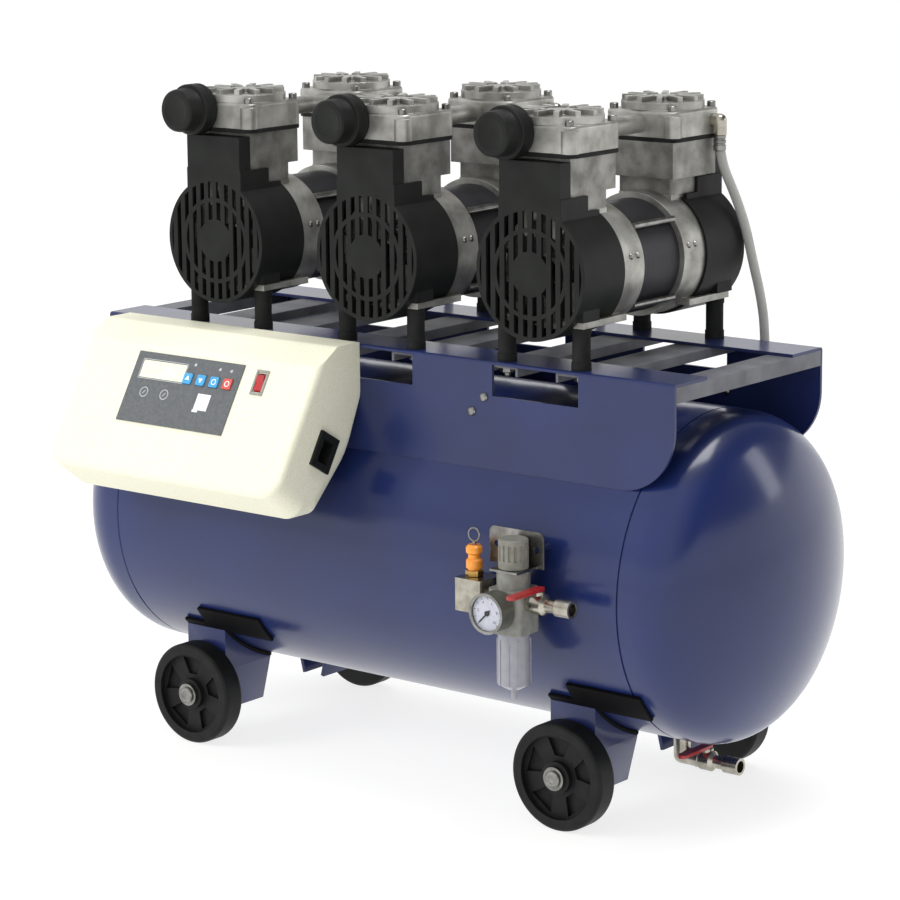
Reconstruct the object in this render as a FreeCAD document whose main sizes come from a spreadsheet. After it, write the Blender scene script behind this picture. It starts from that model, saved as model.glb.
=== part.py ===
import FreeCAD, Part
import math
import os
import re

import Sketcher

# Oil-free air compressor: three twin-head pumps on a wheeled tank, with a control box
# and an outlet group on the front. Millimetres, +Z up, floor at Z 0, tank along X.
# The pieces are drawn with Y 0 on the tank axis; node() then moves each one back so that
# the origin lies under the middle of the whole machine.

driving = {
    # tank
    "tank_radius": 152.5, "tank_wall": 3, "tank_clear": 69.9, "barrel_half": 302,
    "skirt": 15, "dome_depth": 78, "knuckle": 50, "boss_radius": 11, "port_radius": 6,
    "boss_reach": 2, "inlet_radius": 8, "inlet_bore": 4, "inlet_gap": 11.6,
    "inlet_rise": 19.88,
    # deck that carries the pumps
    "deck_out": 118.4, "deck_rise": 43.3, "deck_over": 37.4, "plate": 3,
    "flange_depth": 50, "corner_radius": 58, "window_half": 48, "window_drop": 31.7,
    "beam_width": 40, "beam_depth": 9, "beam_wall": 2.5, "tie_width": 28, "tie_depth": 14,
    # feet, motor and crankcases
    "pump_pitch": 188.6, "shaft_rise": 45.8, "foot_across": 41.3, "foot_edge": 14,
    "foot_radius": 9, "foot_waist": 0.8, "foot_lower": 7, "foot_upper": 5,
    "foot_height": 37.8, "lug_half": 9.5, "lug_depth": 6, "stator_step": 5.5,
    "stator_half": 31.5, "rotor_radius": 30, "rotor_gap": 0.8, "rod_radius": 3,
    "rod_inset": 0.3, "rod_angle": 39, "case_radius": 57.5, "case_end": 64.5,
    "case_wall": 5, "cup_step": 5.5, "cup_length": 33.5,
    # fan covers
    "shroud_step": 2.5, "fan_bay": 27, "shroud_wall": 2.5, "grille_thick": 3.5,
    "grille_pitch": 10.3, "slot_width": 5, "hub_disc": 20.4, "ring_inner": 37,
    "ring_outer": 41, "slot_edge": 1.2, "neck_wall": 3.5, "duct_depth": 15.5,
    "ear_low": 23.8, "ear_margin": 1.5, "piece_gap": 0.3, "neck_lift": 14,
    # cylinders, heads, rods and fans
    "crank_room": 13.5, "block_half": 31, "block_front": 30, "block_back": 28,
    "block_sunk": 3.3, "block_tall": 49, "block_round": 5, "bore_radius": 25,
    "chest_out": 39, "chest_low": 16, "gasket": 4, "head_half": 40, "head_round": 12,
    "head_height": 24, "head_edge": 3, "port_boss": 8, "disc_radius": 38.5,
    "disc_height": 7, "fin_height": 5, "fin_width": 5, "disc_eye": 13,
    "shaft_radius": 6, "shaft_proud": 0.5, "running_gap": 0.05, "crank_throw": 8,
    "crank_radius": 15, "crank_width": 12, "rod_ring": 20, "rod_length": 72,
    "rod_shank": 5, "shank_thick": 4, "piston_radius": 15, "piston_height": 8,
    "fan_radius": 47, "fan_hub": 14, "fan_gap": 6, "blade_chord": 14, "blade_thick": 2,
    "blade_pitch": 35, "filter_across": 24, "filter_lift": 17, "filter_radius": 24,
    "filter_base": 16, "filter_cap": 20.5, "filter_length": 33, "tube_radius": 8.5,
    "tube_lift": 12,
    # hoses
    "hose_radius": 4.5, "hose_foot": 81, "hose_nut": 6.5, "nut_length": 12,
    "elbow_out": 7.2, "elbow_back": 16, "elbow_up": 12, "elbow_drop": 13,
    # wheels and their brackets
    "wheel_radius": 50, "wheel_width": 23.7, "wheel_inset": 76.8, "rim_radius": 39,
    "dish_depth": 6, "wheel_hub": 15, "pocket_depth": 4, "tyre_round": 4,
    "axle_radius": 6, "cap_radius": 11, "cap_height": 3.5, "wheel_play": 0.3,
    "spacer": 2.2, "collar": 4, "leg_front": 112, "leg_half": 25, "leg_narrow": 14,
    "leg_waist": 22, "leg_sheet": 4, "leg_depth": 62, "leg_foot": 12, "pad_thick": 4,
    "pad_over": 4.9, "pad_high": 18, "pad_reach": 90,
    # control box
    "box_right": -15, "box_width": 296, "box_lift": 1.8, "box_back": 59, "box_wall": 2,
    "face_turn": 30.8, "face_across": 175.3, "roof_fall": 16.3, "face_length": 129,
    "box_roof": 26, "foot_drop": 138.2, "chin_front": 206, "chin_back": 178,
    "chin_rise": 146, "chin_lift": 32, "chin_round": 20, "fold_round": 6,
    "panel_inset": 73, "panel_width": 135.5, "panel_drop": 7, "panel_height": 71,
    "panel_thick": 1.2, "display_inset": 9.5, "display_width": 56.5, "display_drop": 15,
    "display_height": 18, "display_sunk": 0.5, "key_width": 10.5, "key_height": 10.5,
    "key_round": 1.5, "key_proud": 1.3, "key_gap": 0.35, "key_inset": 72.1,
    "key_step": 16.8, "key_drop": 28.2, "key_travel": 1, "board_gap": 8,
    "board_thick": 1.6, "board_edge": 4, "post_radius": 3, "post_inset": 9,
    "rocker_inset": 23.9, "rocker_drop": 21.9, "rocker_width": 9, "rocker_radius": 9,
    "rocker_sunk": 4, "rocker_tilt": 8, "rocker_pin": 1.5, "switch_wall": 2,
    "switch_depth": 16, "socket_inset": 3.3, "socket_drop": 78.7, "socket_long": 27,
    "socket_tall": 20, "socket_rim": 3.5, "socket_flange": 3, "socket_depth": 24,
    "socket_wall": 2.5, "socket_fit": 0.3, "pin_long": 4, "pin_thick": 2, "pin_sunk": 5,
    "pin_apart": 7,
    # outlet group
    "group_out": 25.5, "group_drop": 0.9, "block_left": 154.7, "block_size": 30,
    "block_edge": 2, "nipple_radius": 6, "nipple_wall": 2, "nipple_length": 7.6,
    "body_half": 17.5, "body_low": 29, "body_high": 11, "body_round": 7,
    "collar_radius": 15, "collar_tall": 15.5, "knob_radius": 13.5, "knob_tall": 28.8,
    "knob_stem": 5, "knob_flute": 1.2, "bowl_radius": 14.7, "bowl_tall": 47.5,
    "bowl_tip_long": 14, "bowl_wall": 1.8, "gauge_radius": 18, "gauge_low": 5.1,
    "gauge_front": 40, "gauge_depth": 18, "gauge_rim": 2, "dial_sunk": 3,
    "needle_pin": 1, "valve_inset": 11.3, "relief_bore": 2, "relief_neck": 6,
    "valve_radius": 7.5, "valve_waist": 2, "valve_lift": 7.5, "valve_tall": 21,
    "ring_radius": 6, "ring_wire": 0.9, "ring_lift": 3, "bracket_before": 37.8,
    "bracket_after": 22.2, "bracket_tall": 33, "bracket_gap": 9, "bracket_sheet": 2,
    "stud_radius": 3, "stud_inset": 8, "stud_drop": 16,
    # ball valves and the drain
    "tap_radius": 9.5, "tap_length": 47, "tap_stem": 11, "tap_bore": 5.5, "tap_end": 8,
    "tap_rise": 12, "spindle_radius": 3, "lever_length": 44, "lever_width": 9,
    "lever_thick": 3, "drain_inset": 34, "drain_drop": 21.9, "drain_run": 17,
}

# lengths that follow from the ones above
derived = {
    # tank and deck
    "tank_height": "tank_radius + tank_clear",
    "crown": "(dome_depth ^ 2 - knuckle ^ 2 + (tank_radius - knuckle) ^ 2) "
             "/ (2 * (dome_depth - knuckle))",
    "crown_share": "crown / (crown - knuckle)",
    "meet_along": "dome_depth - crown + (crown - dome_depth) * crown_share",
    "meet_up": "(tank_radius - knuckle) * crown_share",
    "inlet_behind": "deck_out + inlet_gap",
    "inlet_top": "tank_height + sqrt(tank_radius ^ 2 - inlet_behind ^ 2) + inlet_rise",
    "deck_top": "tank_height + tank_radius + deck_rise",
    "deck_half": "barrel_half + deck_over",
    "window_foot": "deck_top - window_drop",
    "saddle_height": "tank_height + sqrt(tank_radius ^ 2 - deck_out ^ 2)",
    # pumps
    "shaft_height": "deck_top + foot_height + shaft_rise",
    "lug_foot": "deck_top + foot_height - shaft_height",
    "ear_top": "shaft_height - ear_low",
    "foot_along": "deck_out - foot_edge",
    "stator_radius": "case_radius - stator_step",
    "rod_across": "(case_radius - rod_inset) * cos(rod_angle)",
    "rod_up": "(case_radius - rod_inset) * sin(rod_angle)",
    "cup_radius": "case_radius - cup_step",
    "cup_end": "case_end + cup_length",
    "shroud_radius": "case_radius + shroud_step",
    "shroud_end": "cup_end + fan_bay",
    "slot_reach": "shroud_radius - shroud_wall - slot_edge",
    "neck_half": "block_half + neck_wall",
    "head_along": "case_end + crank_room",
    "block_foot": "shaft_height + case_radius - block_sunk",
    "block_top": "block_foot + block_tall",
    "fan_along": "cup_end + fan_gap + blade_chord / 2",
    "filter_height": "block_top + gasket + filter_lift",
    "tube_height": "block_top + gasket + tube_lift",
    "duct_top": "filter_height - filter_radius - piece_gap",
    # wheels and their pads
    "wheel_face": "leg_front + spacer + wheel_play + wheel_width",
    "wheel_along": "barrel_half - wheel_inset",
    "pad_foot": "tank_height - sqrt((tank_radius + pad_thick) ^ 2 "
                "- (leg_front - leg_depth) ^ 2)",
    "pad_step": "tank_height - sqrt((tank_radius + pad_thick) ^ 2 - leg_front ^ 2) + pad_over",
    "pad_top": "pad_step + pad_high",
    # control box
    "box_left": "box_right - box_width",
    "box_top": "deck_top + box_lift",
    "face_height": "box_top - roof_fall",
    "box_foot": "face_height - foot_drop",
    "chin_reach": "face_across + face_length * sin(face_turn)",
    "chin_height": "face_height - face_length * cos(face_turn)",
    "panel_left": "box_left + panel_inset",
    "panel_right": "panel_left + panel_width",
    "display_left": "panel_left + display_inset",
    "display_right": "display_left + display_width",
    "key_first": "panel_left + key_inset",
    "rocker_at": "panel_right + rocker_inset",
    "socket_across": "face_across - socket_inset",
    "socket_height": "face_height - socket_drop",
    # outlet group
    "group_across": "tank_radius + group_out",
    "group_height": "tank_height - group_drop",
    "outlet_at": "block_left + block_size / 2",
    "outlet_face": "group_across - block_size / 2",
    "body_at": "block_left + block_size + nipple_length + body_half",
    "body_foot": "group_height - body_low",
    "body_shoulder": "group_height + body_high",
    "body_top": "body_shoulder + collar_tall",
    "knob_top": "body_top + knob_tall",
    "bowl_foot": "body_foot - bowl_tall",
    "bowl_tip": "bowl_foot - bowl_tip_long",
    "gauge_height": "group_height - gauge_low",
    "valve_at": "block_left + valve_inset",
    "valve_foot": "group_height + block_size / 2 + valve_lift",
    "valve_top": "valve_foot + valve_tall",
    "bracket_left": "body_at - bracket_before",
    "bracket_right": "body_at + bracket_after",
    "bracket_top": "body_top + bracket_tall",
    "bracket_across": "tank_radius + bracket_gap",
    "drain_at": "barrel_half - drain_inset",
    "drain_height": "tank_clear - boss_reach - drain_drop",
    # the machine's middle
    "chin_run": "sqrt((chin_reach - chin_front) ^ 2 + (chin_height - box_foot) ^ 2)",
    "chin_slope": "(chin_height - box_foot) / chin_run",
    "chin_draw": "(chin_reach - chin_front) / chin_run",
    "chin_share": "(cos(face_turn) + chin_slope) "
                  "/ (1 + cos(face_turn) * chin_slope - sin(face_turn) * chin_draw) - 1",
    "front_reach": "chin_reach - fold_round * chin_share",
    "to_middle": "(front_reach - max(tank_radius; wheel_face + cap_height)) / 2",
}

doc = FreeCAD.newDocument("air_compressor")
sheet = doc.addObject("Spreadsheet::Sheet", "sizes")
cells = {name: str(value) for name, value in driving.items()}
cells.update({name: "=" + text for name, text in derived.items()})
for row, (name, content) in enumerate(cells.items(), start=1):
    sheet.set(f"A{row}", name)
    sheet.set(f"B{row}", content)
    sheet.setAlias(f"B{row}", name)
trial = doc.addObject("Spreadsheet::Sheet", "trial")
doc.recompute()

vec = FreeCAD.Vector
turn = FreeCAD.Rotation
turns = {"z": turn(), "x": turn(vec(0, 1, 0), 90), "y": turn(vec(1, 0, 0), -90)}
pump_names = ["pump1", "pump2", "pump3"]
pump_places = {"pump1": "-pump_pitch", "pump2": "0", "pump3": "pump_pitch"}
nodes = []


# helpers: every size is an expression on the sheet

def formula(text):
    return re.sub(r"[a-z]\w*", lambda m: "sizes." + m[0] if m[0] in cells else m[0], text)


def value(text):
    """The number that an expression on the sheet comes to."""
    trial.set("A1", "=" + formula(text))
    trial.recompute()
    return float(trial.get("A1"))


def bind(obj, **props):
    for prop, text in props.items():
        obj.setExpression(prop, formula(text))
    return obj


def place(obj, x="0", y="0", z="0", rotation=None):
    if rotation is not None:
        obj.Placement = FreeCAD.Placement(vec(), rotation)
    for axis, text in zip("xyz", (x, y, z)):
        obj.setExpression(f"Placement.Base.{axis}", formula(text))
    return obj


def make(kind, name):
    return doc.addObject(kind, name)


def cyl(name, radius, length, x="0", y="0", z="0", axis="z"):
    """A cylinder that starts at the point and runs along +axis."""
    obj = bind(make("Part::Cylinder", name), Radius=radius, Height=length)
    return place(obj, x, y, z, turns[axis])


def cone(name, radius, end_radius, length, x="0", y="0", z="0", axis="z"):
    obj = bind(make("Part::Cone", name), Radius1=radius, Radius2=end_radius, Height=length)
    return place(obj, x, y, z, turns[axis])


def ball(name, radius, x, y, z):
    obj = bind(make("Part::Sphere", name), Radius=radius)
    return place(obj, x, y, z)


def box(name, x, y, z):
    """A box between two expressions on each axis."""
    obj = make("Part::Box", name)
    bind(obj, Length=f"({x[1]}) - ({x[0]})", Width=f"({y[1]}) - ({y[0]})",
         Height=f"({z[1]}) - ({z[0]})")
    return place(obj, x[0], y[0], z[0])


def fuse(name, *shapes):
    obj = make("Part::MultiFuse", name)
    obj.Shapes = list(shapes)
    return obj


def cut(name, base, *tools):
    obj = make("Part::Cut", name)
    obj.Base = base
    obj.Tool = tools[0] if len(tools) == 1 else fuse(name + "_tools", *tools)
    return obj


def common(name, *shapes):
    obj = make("Part::MultiCommon", name)
    obj.Shapes = list(shapes)
    return obj


def mirror(name, source, normal):
    obj = make("Part::Mirroring", name)
    obj.Source = source
    obj.Normal = normal
    return obj


def copy(name, source, x="0", y="0", z="0", rotation=turn()):
    obj = make("App::Link", name)
    obj.LinkedObject = source
    obj.LinkTransform = True
    return place(obj, x, y, z, rotation)


def group(name, *shapes):
    obj = make("Part::Compound", name)
    obj.Links = list(shapes)
    return obj


def node(label, obj):
    """Name a finished sub-part and set it in the machine's own frame."""
    if obj.TypeId not in ("Part::Cut", "Part::MultiFuse", "Part::Compound"):
        obj = group(label + "_group", obj)
    obj.Label = label
    obj.setExpression("Placement.Base.y", formula("to_middle"))
    nodes.append(obj)
    return obj


def body(name):
    return make("PartDesign::Body", name)


def origin_part(owner, role):
    """One of the planes or axes that a body is drawn about."""
    return [f for f in owner.Origin.OriginFeatures if f.Role == role][0]


def sketch(owner, name, plane, offset="0"):
    obj = owner.newObject("Sketcher::SketchObject", name)
    obj.AttachmentSupport = [(origin_part(owner, plane), "")]
    obj.MapMode = "FlatFace"
    obj.setExpression("AttachmentOffset.Base.z", formula(offset))
    return obj


def polygon(drawing, points, arcs=None):
    """A closed outline whose corners are held by expressions.

    Some sides may be arcs, given by side number and radius; a negative radius turns right.
    """
    arcs = arcs or {}
    first = drawing.GeometryCount
    corners = [vec(value(x), value(y), 0) for x, y in points]
    for i, (one, two) in enumerate(zip(corners, corners[1:] + corners[:1])):
        side = Part.LineSegment(one, two)
        if i in arcs:
            side = arc_between(one, two, value(arcs[i]))
        drawing.addGeometry(side)
    starts = [2 if i in arcs and value(arcs[i]) < 0 else 1 for i in range(len(points))]
    for i, start in enumerate(starts):
        after = (i + 1) % len(points)
        drawing.addConstraint(Sketcher.Constraint("Coincident", first + i, 3 - start,
                                                  first + after, starts[after]))
        for kind, text in zip(("DistanceX", "DistanceY"), points[i]):
            hold(drawing, (kind, first + i, start), text)
        if i in arcs:
            hold(drawing, ("Radius", first + i), f"abs({arcs[i]})")


def arc_between(one, two, radius):
    """The shorter arc between two corners, drawn anticlockwise as a sketch wants it."""
    side = math.copysign(1, radius)
    run = two - one
    away = vec(-run.y, run.x, 0).normalize() * side
    centre = (one + two) / 2 + away * math.sqrt(radius ** 2 - (run.Length / 2) ** 2)
    angles = [math.atan2(p.y - centre.y, p.x - centre.x) for p in (one, two)]
    if side < 0:
        angles.reverse()
    return Part.ArcOfCircle(Part.Circle(centre, vec(0, 0, 1), abs(radius)), *angles)


def hold(drawing, parts, text):
    """Add a dimension to a sketch and bind it to an expression."""
    kind, *where = parts
    index = drawing.addConstraint(Sketcher.Constraint(kind, *where, value(text)))
    drawing.setExpression(f"Constraints[{index}]", formula(text))


def rectangle(drawing, x, y):
    polygon(drawing, [(x[0], y[0]), (x[1], y[0]), (x[1], y[1]), (x[0], y[1])])


def circle(drawing, radius, x="0", y="0"):
    held = drawing.addGeometry(Part.Circle(vec(value(x), value(y), 0), vec(0, 0, 1),
                                           value(radius)))
    hold(drawing, ("Radius", held), radius)
    hold(drawing, ("DistanceX", held, 3), x)
    hold(drawing, ("DistanceY", held, 3), y)


def pad(owner, name, drawing, length, midplane=False, reverse=False):
    obj = owner.newObject("PartDesign::Pad", name)
    obj.Profile = drawing
    obj.Midplane = midplane
    obj.Reversed = reverse
    bind(obj, Length=length)
    doc.recompute()
    return obj


def pocket(owner, name, drawing, length, midplane=False, reverse=False):
    before = owner.Shape.Volume
    obj = owner.newObject("PartDesign::Pocket", name)
    obj.Profile = drawing
    obj.Midplane = midplane
    obj.Reversed = reverse
    bind(obj, Length=length)
    doc.recompute()
    if obj.Shape.Volume >= before:
        raise RuntimeError(name + " cuts nothing")
    return obj


def round_edges(owner, name, base, radius, wanted):
    """Round the edges of a feature that the test on an edge picks out."""
    obj = owner.newObject("PartDesign::Fillet", name)
    picked = [f"Edge{i}" for i, e in enumerate(base.Shape.Edges, start=1) if wanted(e)]
    obj.Base = (base, picked)
    bind(obj, Radius=radius)
    doc.recompute()
    return obj


def spin(owner, name, drawing, axis):
    obj = owner.newObject("PartDesign::Revolution", name)
    obj.Profile = drawing
    obj.ReferenceAxis = (origin_part(owner, axis), [""])
    obj.Angle = 360
    doc.recompute()
    return obj


def polar(owner, name, feature, axis, copies):
    obj = owner.newObject("PartDesign::PolarPattern", name)
    obj.Originals = [feature]
    obj.Axis = (origin_part(owner, axis), [""])
    obj.Angle = 360
    obj.Occurrences = copies
    owner.Tip = obj
    doc.recompute()
    return obj


def along(edge, axis):
    ends = edge.Vertexes
    run = ends[-1].Point - ends[0].Point
    return run.Length > 0 and abs(abs(run.normalize().dot(axis)) - 1) < 1e-4


# tank

def tank_barrel():
    shell = cyl("barrel_shell", "tank_radius", "2 * barrel_half", x="-barrel_half",
                z="tank_height", axis="x")
    hollow = cyl("barrel_hollow", "tank_radius - tank_wall", "2 * barrel_half + 2",
                 x="-barrel_half - 1", z="tank_height", axis="x")
    floor = "tank_height - tank_radius - boss_reach"
    solids = [shell, cyl("outlet_boss", "boss_radius", "outlet_face - tank_radius / 2",
                         "outlet_at", "-outlet_face", "group_height", "y"),
              cyl("drain_boss", "boss_radius", "tank_radius / 2", "drain_at", z=floor)]
    bores = [hollow, cyl("outlet_bore", "port_radius", "tank_radius", "outlet_at",
                         "-outlet_face - 1", "group_height", "y"),
             cyl("drain_bore", "port_radius", "tank_radius", "drain_at", z=floor + " - 1")]
    for name, x in pump_places.items():
        solids.append(cyl(f"{name}_inlet_boss", "inlet_radius", "inlet_top - tank_height",
                          f"{x} + hose_foot", "inlet_behind", "tank_height"))
        bores.append(cyl(f"{name}_inlet_bore", "inlet_bore", "inlet_top - tank_height + 1",
                         f"{x} + hose_foot", "inlet_behind", "tank_height"))
    for i, x in enumerate(("bracket_left + stud_inset", "bracket_right - stud_inset")):
        solids.append(cyl(f"bracket_stud_{i}", "stud_radius", "bracket_across / 2", x,
                          "-bracket_across", "bracket_top - stud_drop", "y"))
    node("tank_barrel", cut("barrel", fuse("barrel_solids", *solids), *bores))


def tank_heads():
    """A dished end: a spherical crown run into the skirt by a knuckle, spun about X."""
    dome = body("dome")
    drawing = sketch(dome, "dome_profile", "XZ_Plane", "0")
    end = "barrel_half + skirt"
    inner = "(1 - tank_wall / crown)"
    points = [("barrel_half", "tank_radius"), (end, "tank_radius"),
              (end + " + meet_along", "meet_up"), (end + " + dome_depth", "0"),
              (end + " + dome_depth - tank_wall", "0"),
              (f"{end} + dome_depth - crown + (meet_along - dome_depth + crown) * {inner}",
               f"meet_up * {inner}"),
              (end, "tank_radius - tank_wall"), ("barrel_half", "tank_radius - tank_wall")]
    polygon(drawing, points, arcs={1: "-knuckle", 2: "-crown", 4: "crown - tank_wall",
                                   5: "knuckle - tank_wall"})
    spin(dome, "dome_spin", drawing, "X_Axis")
    right = copy("head_right", dome, z="tank_height")
    left = copy("head_left", dome, z="tank_height", rotation=turn(vec(0, 0, 1), 180))
    node("tank_heads", group("heads_pair", right, left))


# deck

def deck_plates():
    """An upturned L of folded sheet with rounded lower ends, cut to sit on the tank."""
    plate = body("front_plate")
    lower = "saddle_height"
    fold = sketch(plate, "plate_fold", "YZ_Plane")
    polygon(fold, [("-deck_out", lower), ("-deck_out", "deck_top"),
                   ("-deck_out + flange_depth", "deck_top"),
                   ("-deck_out + flange_depth", "deck_top - plate"),
                   ("-deck_out + plate", "deck_top - plate"), ("-deck_out + plate", lower)])
    folded = pad(plate, "plate_pad", fold, "2 * deck_half", midplane=True)
    foot = value("saddle_height")
    ends = round_edges(plate, "plate_ends", folded, "corner_radius",
                       lambda e: along(e, vec(0, 1, 0)) and abs(e.CenterOfMass.z - foot) < 0.1)
    round_edges(plate, "plate_bend", ends, "plate", lambda e: along(e, vec(1, 0, 0))
                and abs(e.CenterOfMass.z - value("deck_top")) < 0.1
                and abs(e.CenterOfMass.y + value("deck_out")) < 0.1)
    openings = sketch(plate, "plate_windows", "XZ_Plane", "deck_out - flange_depth / 2")
    for x in pump_places.values():
        rectangle(openings, (f"{x} - window_half", f"{x} + window_half"),
                  ("window_foot", "deck_top - plate"))
    pocket(plate, "plate_open", openings, "flange_depth", reverse=True)
    saddle = sketch(plate, "plate_saddle", "YZ_Plane")
    circle(saddle, "tank_radius", "0", "tank_height")
    pocket(plate, "plate_seat", saddle, "2 * deck_half + 2", midplane=True)
    rear = mirror("rear_plate", plate, vec(0, 1, 0))
    node("deck_front_plate", plate)
    node("deck_rear_plate", rear)


def deck_beams():
    inner = "deck_out - plate"
    under = "deck_top - plate"

    def channel(name, x, width, depth):
        outer = box(name + "_outer", (f"{x} - {width} / 2", f"{x} + {width} / 2"),
                    (f"-({inner})", inner), (f"{under} - {depth}", under))
        hollow = box(name + "_hollow",
                     (f"{x} - {width} / 2 + beam_wall", f"{x} + {width} / 2 - beam_wall"),
                     (f"-({inner}) - 1", f"{inner} + 1"),
                     (f"{under} - {depth} - 1", f"{under} - beam_wall"))
        return cut(name, outer, hollow)
    beams = [channel(f"beam_{pump}_{side}", f"({x} {side}foot_across)", "beam_width",
                     "beam_depth")
             for pump, x in pump_places.items() for side in "-+"]
    ties = [channel(f"tie_{i}", f"({side}(deck_half - tie_width / 2))", "tie_width", "tie_depth")
            for i, side in enumerate("-+")]
    node("deck_cross_members", group("beams", *beams, *ties))


# pumps, drawn round the shaft axis with the front end towards -Y

def at_pumps(name, source, ends=("front", "rear")):
    """Copies of an end piece at the front and, turned half round, at the rear."""
    half = {"front": turn(), "rear": turn(vec(0, 0, 1), 180)}
    return [copy(f"{pump}_{end}_{name}", source, x, "0", "shaft_height", half[end])
            for pump, x in pump_places.items() for end in ends]


def pump_feet():
    rubber = fuse("foot", cyl("foot_stem", "foot_radius - foot_waist", "foot_height"),
                  cyl("foot_base", "foot_radius", "foot_lower"),
                  cyl("foot_head", "foot_radius", "foot_upper", z="foot_height - foot_upper"))
    feet = [copy(f"foot_{pump}_{i}{j}", rubber, f"{x} {i}foot_across", f"{j}foot_along",
                 "deck_top")
            for pump, x in pump_places.items() for i in "-+" for j in "-+"]
    node("pump_feet", group("feet", *feet))


def lugs(name, grow, y):
    """Mounting arms of a crankcase, or with some growth the slots that clear them."""
    return [box(f"{name}_{i}", (f"{side}foot_across - lug_half - {grow}",
                                f"{side}foot_across + lug_half + {grow}"), y,
                (f"lug_foot - {grow}", f"lug_foot + lug_depth"))
            for i, side in enumerate("-+")]


def crankcases():
    drum = cyl("case_drum", "case_radius", "case_end - stator_half", y="-case_end", axis="y")
    cup = cyl("case_cup", "cup_radius", "cup_end - case_end + 1", y="-cup_end", axis="y")
    neck = box("case_neck", ("-neck_half + 5", "neck_half - 5"),
               ("-cup_end - 5", "-head_along + block_back"), ("30", "block_foot - shaft_height"))
    arms = lugs("arm", "0", ("-foot_along - foot_radius", "-stator_half - 18"))
    room = cyl("case_room", "cup_radius - case_wall", "cup_end - case_end + 1",
               y="-cup_end - 1", axis="y")
    turns_room = cyl("case_turns", "stator_radius - case_wall", "20", y="-stator_half - 20",
                     axis="y")
    bearing = cyl("case_bearing", "shaft_radius + running_gap", "cup_end", y="-cup_end",
                  axis="y")
    throat = cyl("case_throat", "bore_radius + 1", "block_foot - shaft_height + 1",
                 y="-head_along")
    flat = box("case_flat", ("-block_half - 1", "block_half + 1"),
               ("-cup_end", "-head_along + block_back + piece_gap"),
               ("block_foot - shaft_height", "case_radius + 1"))
    case = cut("crankcase", fuse("case_solids", drum, cup, neck, *arms), room, turns_room,
               bearing, throat, flat)
    node("crankcases", group("cases", *at_pumps("case", case)))


def stators():
    core = body("stator_core")
    ring = sketch(core, "stator_ring", "XZ_Plane")
    circle(ring, "stator_radius")
    circle(ring, "rotor_radius + rotor_gap")
    pad(core, "stator_pad", ring, "2 * stator_half", midplane=True)
    node("stators", group("cores", *[copy(f"{pump}_core", core, x, "0", "shaft_height")
                                     for pump, x in pump_places.items()]))
    rods = [cyl(f"rod_{pump}_{i}{j}", "rod_radius", "2 * stator_half", f"{x} {i}rod_across",
                "-stator_half", f"shaft_height {j}rod_up", "y")
            for pump, x in pump_places.items() for i in "-+" for j in "-+"]
    node("stator_tie_rods", group("rods", *rods))


def shrouds():
    """The fan cover: a drum with a slotted grille, a duct up its front and a neck."""
    inner = "shroud_end - grille_thick"
    low = "block_foot - shaft_height"
    duct_back = "shroud_end - duct_depth"
    solids = [cyl("shroud_drum", "shroud_radius", "shroud_end - case_end", y="-shroud_end",
                  axis="y"),
              box("low_step", ("-neck_half", "neck_half"),
                  ("-shroud_end", "-head_along + block_back - 18"), ("0", low)),
              box("high_step", ("-neck_half", "neck_half"),
                  ("-shroud_end", "-head_along - 7"), ("0", f"{low} + neck_lift")),
              box("duct", ("-neck_half + 1", "neck_half - 1"),
                  ("-shroud_end", f"-({duct_back})"), ("0", "duct_top - shaft_height"))]
    for i, side in enumerate("-+"):
        solids.append(box(f"ear_{i}", (f"{side}foot_across - lug_half - ear_margin",
                                       f"{side}foot_across + lug_half + ear_margin"),
                          ("-foot_along - foot_radius - 2 * ear_margin",
                           "-foot_along + foot_radius + 2 * ear_margin"),
                          ("lug_foot + lug_depth", "ear_top - shaft_height")))
    bars = [box(f"slot_{i}", (f"{(i + 0.5) * side} * grille_pitch - slot_width / 2",
                              f"{(i + 0.5) * side} * grille_pitch + slot_width / 2"),
                ("-shroud_end - 1", f"-({inner}) + 1"), ("-shroud_radius", "shroud_radius"))
            for side in (-1, 1) for i in range(6)]

    def ring(name, outer, hole):
        return cut(name, cyl(name + "_disc", outer, "10", y="-shroud_end - 2", axis="y"),
                   cyl(name + "_hole", hole, "12", y="-shroud_end - 3", axis="y"))
    grille = common("grille", fuse("slot_bars", *bars),
                    fuse("slot_rings", ring("inner_field", "ring_inner", "hub_disc"),
                         ring("outer_field", "slot_reach", "ring_outer")))
    hollow = cyl("shroud_hollow", "shroud_radius - shroud_wall", f"{inner} - case_end + 1",
                 y=f"-({inner})", axis="y")
    neck_hollow = box("neck_hollow", ("-block_half - 0.6", "block_half + 0.6"),
                      ("-head_along - block_front - 0.9", "-case_end + 1"),
                      ("0", f"{low} + 30"))
    duct_hollow = box("duct_hollow", ("-neck_half + 3.5", "neck_half - 3.5"),
                      ("-shroud_end + shroud_wall", f"-({duct_back}) - shroud_wall"),
                      ("0", "duct_top - shaft_height - shroud_wall"))
    slots = lugs("arm_slot", "0.4", ("-foot_along - foot_radius - 0.4", "-case_end + 1"))
    slots += [cyl(f"foot_slot_{i}", "foot_radius + piece_gap", "foot_height",
                  f"{side}foot_across", "-foot_along", "lug_foot - foot_height")
              for i, side in enumerate("-+")]
    cover = cut("shroud", fuse("shroud_solids", *solids), hollow, neck_hollow, duct_hollow,
                grille, *slots)
    pieces = at_pumps("cover", cover)
    for i, pump in enumerate(pump_names):
        node(f"{pump}_shrouds", group(f"{pump}_covers", *pieces[2 * i:2 * i + 2]))


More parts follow.
